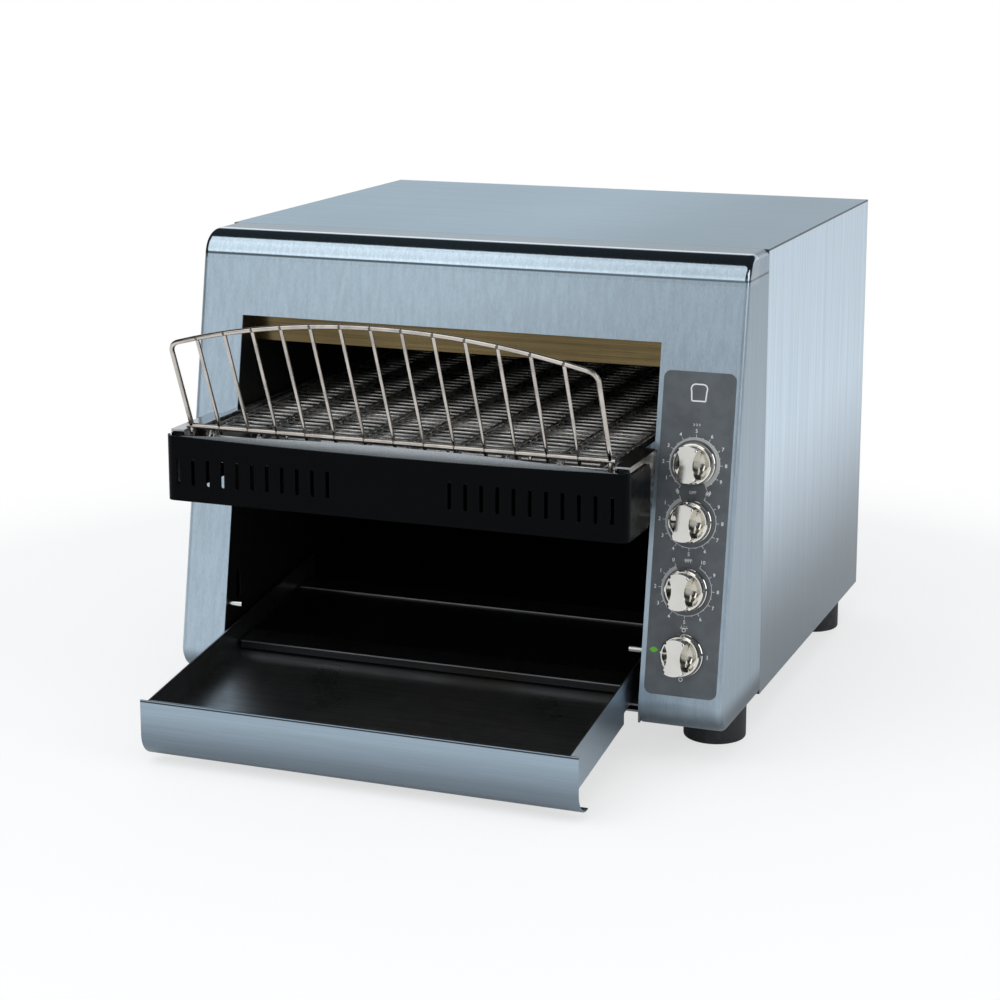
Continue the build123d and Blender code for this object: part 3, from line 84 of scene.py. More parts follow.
class Grain(Enum):
    """Direction that a sheet's brushing or rolling runs in."""

    ACROSS = 0
    DEEP = 1
    UP = 2


class Value:
    """A shader socket that builds Math nodes when it stands in an expression."""

    def __init__(self, graph: Graph, socket: bpy.types.NodeSocket) -> None:
        """Wraps an output socket of a graph."""
        self.graph = graph
        self.socket = socket

    def join(self, step: Sum, first: Any, second: Any = 0.0) -> Value:
        """Adds one Math node.

        Args:
            step: the operation.
            first: a value or a number.
            second: a value or a number.

        Returns:
            The node's output.
        """
        return self.graph.node("ShaderNodeMath", {"operation": step.value}, {0: first, 1: second})

    def __add__(self, other: Any) -> Value:
        """Returns self + other."""
        return self.join(Sum.PLUS, self, other)

    __radd__ = __add__

    def __sub__(self, other: Any) -> Value:
        """Returns self - other."""
        return self.join(Sum.MINUS, self, other)

    def __rsub__(self, other: Any) -> Value:
        """Returns other - self."""
        return self.join(Sum.MINUS, other, self)

    def __mul__(self, other: Any) -> Value:
        """Returns self * other."""
        return self.join(Sum.TIMES, self, other)

    __rmul__ = __mul__

    def __truediv__(self, other: Any) -> Value:
        """Returns self / other."""
        return self.join(Sum.OVER, self, other)

    def __abs__(self) -> Value:
        """Returns the size of self."""
        return self.join(Sum.SIZE, self)

    def __or__(self, other: Any) -> Value:
        """Returns the higher of two masks."""
        return self.join(Sum.HIGHEST, self, other)

    def __and__(self, other: Any) -> Value:
        """Returns the lower of two masks."""
        return self.join(Sum.LOWEST, self, other)

    def rise(self, low: float, high: float) -> Value:
        """Returns 0 below low, 1 above high, and a smooth step between them."""
        return self.graph.node(
            "ShaderNodeMapRange", {"interpolation_type": "SMOOTHSTEP"},
            {"Value": self, "From Min": low, "From Max": high})

    def near(self, centre: float, half: float, soft: float) -> Value:
        """Returns 1 within half of centre, and 0 past another soft."""
        return 1 - abs(self - centre).rise(half, half + soft)


class Graph:
    """A material's or the world's node tree."""

    def __init__(self, tree: bpy.types.NodeTree) -> None:
        """Empties the tree."""
        self.tree = tree
        tree.nodes.clear()

    def node(self, kind: str, settings: Mapping[str, Any] | None = None,
             inputs: Mapping[Any, Any] | None = None, out: Any = 0) -> Value:
        """Adds a node.

        Args:
            kind: the node's type.
            settings: properties, set first; "stops" lists a ramp's (position, colour) pairs.
            inputs: values or links, by socket name or number.
            out: name or number of the output to return.

        Returns:
            One of the node's outputs.
        """
        made = self.tree.nodes.new(kind)
        for name, value in (settings or {}).items():
            if name == "stops":
                self.fill_ramp(made.color_ramp, value)
            else:
                setattr(made, name, value)
        for name, value in (inputs or {}).items():
            if isinstance(value, Value):
                self.tree.links.new(value.socket, made.inputs[name])
            else:
                made.inputs[name].default_value = value
        return Value(self, made.outputs[out] if len(made.outputs) else None)

    @staticmethod
    def fill_ramp(ramp: bpy.types.ColorRamp, stops: Sequence[tuple[float, Colour]]) -> None:
        """Gives a colour ramp its stops.

        Args:
            ramp: the ramp.
            stops: its (position, colour) pairs.
        """
        while len(ramp.elements) < len(stops):
            ramp.elements.new(1.0)
        for element, (position, colour) in zip(ramp.elements, stops):
            element.position = position
            element.color = (*colour, 1.0)

    def place(self) -> Value:
        """Returns the point's place on its piece."""
        return self.node("ShaderNodeTexCoord", out="Object")

    def parts(self, vector: Value) -> tuple[Value, Value, Value]:
        """Splits a vector.

        Args:
            vector: the vector.

        Returns:
            Its X, Y and Z.
        """
        split = self.node("ShaderNodeSeparateXYZ", inputs={0: vector})
        outputs = split.socket.node.outputs
        return Value(self, outputs[0]), Value(self, outputs[1]), Value(self, outputs[2])

    def noise(self, place: Value, scale: Sequence[float], detail: float = 2.0,
              roughness: float = 0.5) -> Value:
        """Adds a noise that is stretched differently along X, Y and Z.

        Args:
            place: where it is read.
            scale: its cells per metre along each axis.
            detail: how many finer layers it has.
            roughness: how strong the finer layers are.

        Returns:
            Its value.
        """
        stretched = self.node("ShaderNodeVectorMath", {"operation": "MULTIPLY"},
                              {0: place, 1: tuple(scale)})
        return self.node("ShaderNodeTexNoise", inputs={
            "Vector": stretched, "Scale": 1.0, "Detail": detail, "Roughness": roughness})

    def mix(self, factor: Any, low: Any, high: Any) -> Value:
        """Mixes two colours.

        Args:
            factor: how much of the second there is.
            low: the first colour, a value or a tuple.
            high: the second colour, a value or a tuple.

        Returns:
            The mixed colour.
        """
        def rgba(colour: Any) -> Any:
            """Returns a colour as a socket takes it."""
            return colour if isinstance(colour, Value) else (*colour, 1.0)
        return self.node("ShaderNodeMix", {"data_type": "RGBA"},
                         {0: factor, 6: rgba(low), 7: rgba(high)}, out=2)

    def bump(self, height: Value, depth: float, strength: float = 1.0) -> Value:
        """Turns a height into a normal; depth is how deep a height of 1 is, in metres."""
        return self.node("ShaderNodeBump",
                         inputs={"Strength": strength, "Distance": depth, "Height": height})

    def surface(self, **inputs: Any) -> Value:
        """Adds the surface shader; underscores in names stand for spaces."""
        return self.node("ShaderNodeBsdfPrincipled",
                         inputs={name.replace("_", " "): value for name, value in inputs.items()})

    def finish(self, shader: Value, kind: str = "ShaderNodeOutputMaterial") -> None:
        """Ends the graph in its output."""
        self.node(kind, inputs={"Surface": shader})


def scaled(colour: Colour, factor: float) -> Colour:
    """Returns a colour made lighter or darker."""
    return tuple(min(1.0, channel * factor) for channel in colour)


def stretched(grain: Grain, across: float, along: float) -> tuple[float, float, float]:
    """Returns noise scales that are low along the grain and high across it."""
    return tuple(along if axis == grain.value else across for axis in range(3))


# ---- Finishes -------------------------------------------------------------------------------


@dataclass(frozen=True)
class Finish:
    """A named material, built the first time that it is asked for."""

    name: str

    def shade(self, graph: Graph) -> Value:
        """Builds the shader; each finish has its own.

        Args:
            graph: the material's nodes.

        Returns:
            The shader.
        """
        raise NotImplementedError

    def material(self) -> bpy.types.Material:
        """Builds the material, or finds it where it was built before.

        Returns:
            The material.
        """
        name = f"{self.name}_look"
        made = bpy.data.materials.get(name)
        if made is None:
            made = bpy.data.materials.new(name)
            made.use_nodes = True
            graph = Graph(made.node_tree)
            graph.finish(self.shade(graph))
        return made


@dataclass(frozen=True)
class BrushedSteel(Finish):
    """Stainless sheet with a linear grain and faint smears, with painted shade in bands and along its
    shut lines.

    Each of bands is painted shade: an axis, where the painted darkening starts and ends along it, and
    the factor of the colour that is left past its end. Each of polish is an axis and where a smoother
    area starts and is whole; the area is where all of them meet. A shut line is painted shade, with
    seam_tone of the sheet's own colour.
    """

    tint: Colour
    grain: Grain
    roughness: float = 0.34
    contrast: float = 0.10
    smear: float = 0.08
    depth: float = 0.00004
    fine: float = 1500.0
    coarse: float = 260.0
    seams: tuple[tuple[Grain, float], ...] = ()
    seam_half: float = 0.00035
    seam_tone: float = 0.12
    bands: tuple[tuple[Grain, float, float, float], ...] = ()
    polish: tuple[tuple[Grain, float, float], ...] = ()

    def shade(self, graph: Graph) -> Value:
        """Builds streaked metal.

        Args:
            graph: the material's nodes.

        Returns:
            The shader.
        """
        place = graph.place()
        hair = graph.noise(place, stretched(self.grain, self.fine, 14.0), 3.0)
        streak = graph.noise(place, stretched(self.grain, self.coarse, 2.5), 2.0)
        cloud = graph.noise(place, (5.0, 5.0, 5.0), 2.0)
        lines = hair * 0.55 + streak * 0.45
        tone = lines.rise(0.34, 0.66)
        colour = graph.mix(tone, scaled(self.tint, 1 - self.contrast),
                           scaled(self.tint, 1 + self.contrast))
        colour = graph.mix(cloud.rise(0.35, 0.7) * self.smear * 2, colour,
                           scaled(self.tint, 1 - 2 * self.smear))
        axes = graph.parts(place)
        # Painted shade: past each band's end the colour is darkened to the band's factor.
        for axis, start, end, factor in self.bands:
            far = axes[axis.value].rise(start, end)
            colour = graph.mix(far, colour, graph.mix(1 - factor, colour, (0.0, 0.0, 0.0)))
        smooth = None
        for axis, start, end in self.polish:
            area = axes[axis.value].rise(start, end)
            smooth = area if smooth is None else smooth & area
        # Painted shade in the gaps between sheets: a thin dark line along each seam.
        if self.seams:
            shut = None
            for axis, where in self.seams:
                line = axes[axis.value].near(where, self.seam_half, self.seam_half)
                shut = line if shut is None else shut | line
            colour = graph.mix(shut, colour, scaled(self.tint, self.seam_tone))
        roughness = self.roughness + lines * 0.10 - 0.05 + cloud * 0.03
        if smooth is not None:
            roughness = roughness * (1 - smooth * 0.72)
        return graph.surface(Base_Color=colour, Metallic=1.0, Roughness=roughness,
                             Normal=graph.bump(lines, self.depth))


@dataclass(frozen=True)
class CavitySteel(Finish):
    """Dark, heat-stained sheet inside the oven and the tray."""

    tint: Colour
    grain: Grain
    stain: Colour = (0.05, 0.032, 0.018)
    roughness: float = 0.30
    stained: float = 0.4
    outside: tuple[Grain, float] | None = None
    outside_tint: Colour = (0.3, 0.37, 0.43)

    def shade(self, graph: Graph) -> Value:
        """Builds smoky metal, left bright past a plane where it has an outer side.

        Args:
            graph: the material's nodes.

        Returns:
            The shader.
        """
        place = graph.place()
        hair = graph.noise(place, stretched(self.grain, 1300.0, 12.0), 3.0)
        haze = graph.noise(place, (16.0, 16.0, 16.0), 3.0)
        crumbs = graph.noise(place, (700.0, 700.0, 700.0), 2.0).rise(0.66, 0.74)
        colour = graph.mix(hair.rise(0.3, 0.7), scaled(self.tint, 0.8), scaled(self.tint, 1.2))
        colour = graph.mix(haze.rise(0.4, 0.75) * self.stained, colour, self.stain)
        colour = graph.mix(crumbs * 0.35 * self.stained, colour, scaled(self.stain, 0.5))
        if self.outside:
            axis, where = self.outside
            bare = graph.parts(place)[axis.value].rise(where - 0.1 * MM, where + 0.1 * MM)
            streak = graph.mix(hair.rise(0.3, 0.7), scaled(self.outside_tint, 0.9),
                               scaled(self.outside_tint, 1.1))
            colour = graph.mix(bare, colour, streak)
        return graph.surface(
            Base_Color=colour, Metallic=1.0,
            Roughness=self.roughness + haze * 0.2 + crumbs * 0.2,
            Normal=graph.bump(hair, 0.00003))


@dataclass(frozen=True)
class BrightMetal(Finish):
    """Plated or polished metal, with a faint orange peel and dulled patches."""

    tint: Colour
    roughness: float = 0.10
    peel: float = 0.000004
    dull: float = 0.10
    spread: float = 60.0

    def shade(self, graph: Graph) -> Value:
        """Builds plated metal.

        Args:
            graph: the material's nodes.

        Returns:
            The shader.
        """
        place = graph.place()
        film = graph.noise(place, (self.spread,) * 3, 3.0)
        speck = graph.noise(place, (self.spread * 14,) * 3, 2.0)
        colour = graph.mix(film.rise(0.35, 0.7), self.tint, scaled(self.tint, 1 - self.dull))
        return graph.surface(
            Base_Color=colour, Metallic=1.0,
            Roughness=self.roughness + film.rise(0.4, 0.7) * self.dull * 0.8 + speck * 0.03,
            Normal=graph.bump(speck, self.peel))


@dataclass(frozen=True)
class Frosted(Finish):
    """Bead-blasted bright strip."""

    tint: Colour
    roughness: float = 0.45

    def shade(self, graph: Graph) -> Value:
        """Builds a sparkling blasted surface.

        Args:
            graph: the material's nodes.

        Returns:
            The shader.
        """
        place = graph.place()
        grit = graph.noise(place, (1600.0,) * 3, 2.0, 0.7)
        colour = graph.mix(grit.rise(0.35, 0.65), scaled(self.tint, 0.8), scaled(self.tint, 1.15))
        return graph.surface(
            Base_Color=colour, Metallic=0.75, Roughness=self.roughness + grit * 0.15,
            Normal=graph.bump(grit, 0.00008))


@dataclass(frozen=True)
class Enamel(Finish):
    """Glossy baked coating with a slight orange peel and fine dust."""

    tint: Colour
    roughness: float = 0.22
    dust: float = 0.03
    shine: float = 0.5

    def shade(self, graph: Graph) -> Value:
        """Builds the coating.

        Args:
            graph: the material's nodes.

        Returns:
            The shader.
        """
        place = graph.place()
        peel = graph.noise(place, (420.0,) * 3, 2.0)
        dust = graph.noise(place, (2600.0,) * 3, 2.0).rise(0.62, 0.8)
        haze = graph.noise(place, (22.0,) * 3, 2.0)
        colour = graph.mix(dust * self.dust, self.tint, (0.35, 0.35, 0.34))
        return graph.surface(
            Base_Color=colour, Roughness=self.roughness + haze * 0.10,
            Specular_IOR_Level=self.shine, Normal=graph.bump(peel, 0.00002))


@dataclass(frozen=True)
class Moulded(Finish):
    """Moulded or sheet plastic with a fine spark texture."""

    tint: Colour
    roughness: float = 0.45
    texture: float = 0.00003
    mottle: float = 0.12

    def shade(self, graph: Graph) -> Value:
        """Builds the plastic.

        Args:
            graph: the material's nodes.

        Returns:
            The shader.
        """
        place = graph.place()
        spark = graph.noise(place, (2400.0,) * 3, 2.0)
        tone = graph.noise(place, (90.0,) * 3, 3.0)
        colour = graph.mix(tone.rise(0.3, 0.7), scaled(self.tint, 1 - self.mottle),
                           scaled(self.tint, 1 + self.mottle))
        return graph.surface(
            Base_Color=colour, Roughness=self.roughness + spark * 0.1 - 0.05,
            Normal=graph.bump(spark, self.texture))


@dataclass(frozen=True)
class Rubber(Finish):
    """Black foot rubber, greyed where it was handled."""

    tint: Colour = (0.012, 0.013, 0.014)

    def shade(self, graph: Graph) -> Value:
        """Builds the rubber.

        Args:
            graph: the material's nodes.

        Returns:
            The shader.
        """
        place = graph.place()
        bloom = graph.noise(place, (130.0,) * 3, 4.0)
        pits = graph.noise(place, (1500.0,) * 3, 2.0)
        colour = graph.mix(bloom.rise(0.45, 0.8) * 0.6, self.tint, (0.045, 0.047, 0.05))
        return graph.surface(Base_Color=colour, Roughness=0.5 + bloom * 0.2,
                             Normal=graph.bump(pits, 0.00006))


@dataclass(frozen=True)
class Quartz(Finish):
    """Milky heater tube, with the coil in it showing faintly."""

    def shade(self, graph: Graph) -> Value:
        """Builds translucent glass with the coil's turns showing as bands.

        Args:
            graph: the material's nodes.

        Returns:
            The shader.
        """
        place = graph.place()
        across = graph.parts(place)[0]
        turns = graph.node("ShaderNodeTexWave", {"wave_type": "BANDS"},
                           {"Vector": place, "Scale": 60.0, "Distortion": 0.4}, out=1)
        milk = graph.noise(place, (300.0,) * 3, 2.0)
        ends = abs(across + 0.014).rise(0.150, 0.175)
        colour = graph.mix(turns.rise(0.3, 0.8) * (1 - ends), (0.55, 0.53, 0.5), (0.26, 0.2, 0.16))
        return graph.surface(Base_Color=colour, Roughness=0.22 + milk * 0.2,
                             Transmission_Weight=0.25, IOR=1.46, Coat_Weight=0.4)


@dataclass(frozen=True)
class Fibre(Finish):
    """Pressed fibre blanket or fired ceramic, chalky and pitted."""

    tint: Colour
    cell: float = 500.0
    depth: float = 0.0004

    def shade(self, graph: Graph) -> Value:
        """Builds the chalky surface.

        Args:
            graph: the material's nodes.

        Returns:
            The shader.
        """
        place = graph.place()
        pits = graph.noise(place, (self.cell,) * 3, 5.0, 0.65)
        tone = graph.noise(place, (40.0,) * 3, 3.0)
        colour = graph.mix(tone, scaled(self.tint, 0.82), scaled(self.tint, 1.08))
        return graph.surface(Base_Color=colour, Roughness=0.8 + pits * 0.15,
                             Normal=graph.bump(pits, self.depth))


@dataclass(frozen=True)
class Ink(Finish):
    """Screen-printed ink, a little uneven over the plate's texture."""

    tint: Colour

    def shade(self, graph: Graph) -> Value:
        """Builds the ink.

        Args:
            graph: the material's nodes.

        Returns:
            The shader.
        """
        place = graph.place()
        cover = graph.noise(place, (1800.0,) * 3, 2.0)
        colour = graph.mix(cover.rise(0.3, 0.7), scaled(self.tint, 0.86), self.tint)
        return graph.surface(Base_Color=colour, Roughness=0.5 + cover * 0.15,
                             Normal=graph.bump(cover, 0.00001))


# ---- Mesh building --------------------------------------------------------------------------


def new_piece(name: str, mesh: bmesh.types.BMesh, finish: Finish, body: str,
              smooth: float | None = 35.0) -> bpy.types.Object:
    """Turns a mesh into a piece that rides on a body.

    Args:
        name: the piece's name.
        mesh: its faces, freed here.
        finish: its finish.
        body: the body that it rides on.
        smooth: angle in degrees under which edges are shaded smooth, or None for flat faces.

    Returns:
        The object.
    """
    bmesh.ops.recalc_face_normals(mesh, faces=mesh.faces)
    data = bpy.data.meshes.new(name)
    mesh.to_mesh(data)
    mesh.free()
    if smooth is not None:
        data.shade_smooth()
        data.set_sharp_from_angle(angle=math.radians(smooth))
    made = bpy.data.objects.new(name, data)
    bpy.context.scene.collection.objects.link(made)
    data.materials.append(finish.material())
    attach(made, body)
    LOG.info("modelled %s: %d faces on %s", name, len(data.polygons), body)
    return made


def dress(finish: Finish, *nodes: str) -> None:
    """Gives CAD nodes a finish.

    Args:
        finish: the finish.
        nodes: names of the nodes.
    """
    for node in nodes:
        data = frame["nodes"][node].data
        data.materials.clear()
        data.materials.append(finish.material())
        LOG.info("dressed %s in %s", node, finish.name)


def soften(width: float, *nodes: str) -> None:
    """Rounds the sharp edges of CAD nodes as they are shown.

    Args:
        width: width of the rounding.
        nodes: names of the nodes.
    """
    for node in nodes:
        piece = frame["nodes"][node]
        weld = piece.modifiers.new("weld", "WELD")
        weld.merge_threshold = 0.002 * MM
        bevel = piece.modifiers.new("edge", "BEVEL")
        bevel.width = width
        bevel.segments = 2
        bevel.limit_method = "ANGLE"
        bevel.angle_limit = math.radians(40)
        bevel.use_clamp_overlap = True
        bevel.harden_normals = False
        normals = piece.modifiers.new("normals", "WEIGHTED_NORMAL")
        normals.keep_sharp = False


def tube(mesh: bmesh.types.BMesh, path: Sequence[Vector], radius: float, sides: int = 8,
         closed: bool = False) -> None:
    """Adds a round wire along a path.

    Args:
        mesh: where it goes.
        path: its points.
        radius: its radius.
        sides: how many sides its section has.
        closed: whether its end joins its start.
    """
    count = len(path)
    rings = []
    side = None
    for n, point in enumerate(path):
        before = path[n - 1] if n or closed else point
        after = path[(n + 1) % count] if n < count - 1 or closed else point
        along = (after - before).normalized()
        if side is None:
            side = along.orthogonal().normalized()
        side = (side - along * side.dot(along)).normalized()
        up = along.cross(side)
        rings.append([
            mesh.verts.new(point + radius * (side * math.cos(turn) + up * math.sin(turn)))
            for turn in (math.tau * k / sides for k in range(sides))])
    pairs = list(zip(rings, rings[1:]))
    if closed:
        pairs.append((rings[-1], rings[0]))
    for one, two in pairs:
        for k in range(sides):
            mesh.faces.new((one[k], one[(k + 1) % sides], two[(k + 1) % sides], two[k]))
    if not closed:
        mesh.faces.new(tuple(reversed(rings[0])))
        mesh.faces.new(tuple(rings[-1]))


def lathe(mesh: bmesh.types.BMesh, profile: Sequence[tuple[float, float]], place: Matrix,
          steps: int = 64) -> None:
    """Adds a turned solid.

    Args:
        mesh: where it goes.
        profile: (radius, height) points from the axis, round the solid, to the axis.
        place: where its axis is; its local Z runs up the axis.
        steps: how many steps a turn has.
    """
    rings = []
    for radius, height in profile:
        if radius == 0:
            rings.append([mesh.verts.new(place @ Vector((0, 0, height)))])
            continue
        rings.append([
            mesh.verts.new(place @ Vector((radius * math.cos(turn), radius * math.sin(turn), height)))
            for turn in (math.tau * k / steps for k in range(steps))])
    for one, two in zip(rings, rings[1:]):
        for k in range(steps):
            after = (k + 1) % steps
            corners = {one[k % len(one)]: 0, one[after % len(one)]: 0,
                       two[after % len(two)]: 0, two[k % len(two)]: 0}
            if len(corners) > 2:
                mesh.faces.new(tuple(corners))


def prism(mesh: bmesh.types.BMesh, outline: Sequence[tuple[float, float]], low: float, high: float,
          place: Matrix) -> list[bmesh.types.BMFace]:
    """Adds a straight-sided solid from an outline.

    Args:
        mesh: where it goes.
        outline: its corners in its local XY plane.
        low: local Z of its underside.
        high: local Z of its top.
        place: where its local frame is.

    Returns:
        Its new faces.
    """
    bottom, top = ([mesh.verts.new(place @ Vector((x, y, z))) for x, y in outline]
                   for z in (low, high))
    made = [mesh.faces.new(tuple(reversed(bottom))), mesh.faces.new(tuple(top))]
    for n in range(len(outline)):
        after = (n + 1) % len(outline)
        made.append(mesh.faces.new((bottom[n], bottom[after], top[after], top[n])))
    return made


def arc_points(centre: tuple[float, float], radius: float, start: float, end: float,
               steps: int) -> list[tuple[float, float]]:
    """Lays points along an arc.

    Args:
        centre: its centre.
        radius: its radius.
        start: angle at its first point, in radians.
        end: angle at its last point.
        steps: how many steps it has.

    Returns:
        Its points.
    """
    return [(centre[0] + radius * math.cos(start + (end - start) * n / steps),
             centre[1] + radius * math.sin(start + (end - start) * n / steps))
            for n in range(steps + 1)]


def round_edges(mesh: bmesh.types.BMesh, edges: Iterable[bmesh.types.BMEdge], width: float,
                segments: int = 3) -> None:
    """Bevels some edges of a mesh.

    Args:
        mesh: the mesh.
        edges: the edges.
        width: width of the bevel.
        segments: how many steps it has.
    """
    bmesh.ops.bevel(mesh, geom=list(edges), offset=width, segments=segments, profile=0.5,
                    affect="EDGES", clamp_overlap=True)


def middle(node: str) -> Vector:
    """Returns the centre of a CAD node's box."""
    low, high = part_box(node)
    return (low + high) / 2


# ---- Case -----------------------------------------------------------------------------------


@dataclass
class Case:
    """Outer sheets, base, feet and fasteners."""

    screw_rise: float = 2.2 * MM
    screw_radius: float = 3.8 * MM
    recess: float = 1.3 * MM
    front_return: float = 54.0 * MM
    roll_foot: float = 18.0 * MM
    # Painted shade on the face's foot, from the first height above the foot down to the second.
    foot_shade: tuple[float, float] = (26.0 * MM, 8.0 * MM)
    roll_polish: tuple[float, float] = (24.0 * MM, 19.0 * MM)
    edge_polish: tuple[float, float] = (26.0 * MM, 20.0 * MM)
    edge_width: float = 0.5 * MM
    face: BrushedSteel = field(init=False)

    def build(self) -> None:
        """Dresses the sheets and models the screws' heads."""
        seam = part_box("side_panel_right")[0].y
        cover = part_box("top_cover")
        half, top_z = cover[1].x, cover[1].z
        edge_y = seam - self.front_return
        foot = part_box("front_panel")[0].z
        # Painted light: each sheet is the same stainless steel, tinted to how that sheet is lit. The
        # face has painted shade towards its foot and its right, and a painted dark line of reflection
        # at the foot of the top roll; the sides have painted shade towards the bottom, and the top
        # towards its right.
        self.face = BrushedSteel(
            "face_steel", (0.47, 0.575, 0.66), Grain.UP, smear=0.02, contrast=0.09,
            bands=((Grain.UP, foot + self.foot_shade[0], foot + self.foot_shade[1], 0.35),
                   (Grain.ACROSS, -0.05, 0.22, 0.76)),
            polish=((Grain.UP, top_z - self.roll_polish[0], top_z - self.roll_polish[1]),
                    (Grain.DEEP, edge_y + self.edge_polish[0], edge_y + self.edge_polish[1])),
            seams=((Grain.UP, top_z - self.roll_foot),), seam_half=0.0006, seam_tone=0.3)
        side = BrushedSteel("side_steel", (0.69, 0.81, 0.91), Grain.UP, smear=0.03,
                            bands=((Grain.UP, 0.26, 0.05, 0.29),),
                            seams=((Grain.DEEP, seam),))
        top = BrushedSteel("top_steel", (0.42, 0.62, 0.76), Grain.ACROSS, smear=0.06,
                           bands=((Grain.ACROSS, 0.0, 0.2, 0.72),),
                           seams=((Grain.DEEP, seam), (Grain.ACROSS, half), (Grain.ACROSS, -half)))
        dress(self.face, "front_panel")
        dress(side, "side_panel_left", "side_panel_right")
        dress(top, "top_cover")
        dress(BrushedSteel("rear_steel", (0.52, 0.57, 0.6), Grain.ACROSS), "rear_panel")
        dress(BrushedSteel("galvanised_sheet", (0.42, 0.44, 0.45), Grain.ACROSS, roughness=0.42),
              "base_pan")
        dress(Rubber("foot_rubber"), "feet")
        dress(BrightMetal("zinc_plate", (0.52, 0.52, 0.5), 0.3), "foot_screws")
        soften(self.edge_width, "tray_apron")
        self.screw_heads()

    def screw_heads(self) -> None:
        """Models each case screw with a domed head and a cross recess."""
        low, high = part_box("case_screws")
        rear = high.y - self.screw_rise
        sheet = bmesh.new()
        for x, z in self.screw_places():
            place = Matrix.Translation((x, rear, z)) @ Matrix.Rotation(-math.pi / 2, 4, "X")
            dome = [(self.screw_radius * math.cos(turn),
                     self.screw_rise * (0.35 + 0.65 * math.sin(turn)))
                    for turn in (math.pi / 2 * n / 6 for n in range(6))]
            crown = dome[-1][1]
            lathe(sheet, [(0, low.y - rear), (self.screw_radius / 2, low.y - rear),
                          (self.screw_radius / 2, 0), (self.screw_radius, 0), *dome,
                          (self.recess, crown), (self.recess * 0.6, crown - self.recess),
                          (0, crown - self.recess)], place, 24)
        heads = new_piece("rear_screw_heads", sheet, BrightMetal("screw_steel", (0.6, 0.6, 0.58), 0.2),
                          "case")
        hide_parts("case_screws")

    @staticmethod
    def screw_places() -> list[tuple[float, float]]:
        """Finds the case screws from the CAD heads' corners.

        Returns:
            The X and Z of each screw.
        """
        data = frame["nodes"]["case_screws"].data
        low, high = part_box("case_screws")
        columns = (low.x, high.x)
        rims = sorted({round(v.co.z, 4) for v in data.vertices})
        groups: list[list[float]] = []
        for z in rims:
            if groups and z - groups[-1][-1] < 5 * MM:
                groups[-1].append(z)
            else:
                groups.append([z])
        radius = (groups[0][-1] - groups[0][0]) / 2
        return [(x + (radius if x < 0 else -radius), (group[0] + group[-1]) / 2)
                for x in columns for group in groups]


# ---- Oven -----------------------------------------------------------------------------------


@dataclass
class Oven:
    """Sheets, tubes and insulation round the food."""

    def build(self) -> None:
        """Dresses the oven."""
        wall = CavitySteel("oven_wall", (0.055, 0.058, 0.06), Grain.UP, roughness=0.38)
        dress(wall, "inner_wall_left", "inner_wall_right", "oven_rear_wall")
        dress(BrushedSteel("baffle_steel", (0.155, 0.115, 0.055), Grain.ACROSS, roughness=0.2,
                           contrast=0.3, smear=0.3), "oven_roof")
        dress(BrushedSteel("reflector_steel", (0.5, 0.47, 0.42), Grain.ACROSS, roughness=0.3),
              "lower_reflector")
        dress(Quartz("quartz"), "upper_quartz_tubes", "lower_quartz_tubes")
        dress(Fibre("fired_ceramic", (0.72, 0.68, 0.6), 900.0, 0.00008), "element_caps")
        dress(Fibre("fibre_blanket", (0.78, 0.75, 0.68)), "roof_insulation")


# ---- Conveyor -------------------------------------------------------------------------------


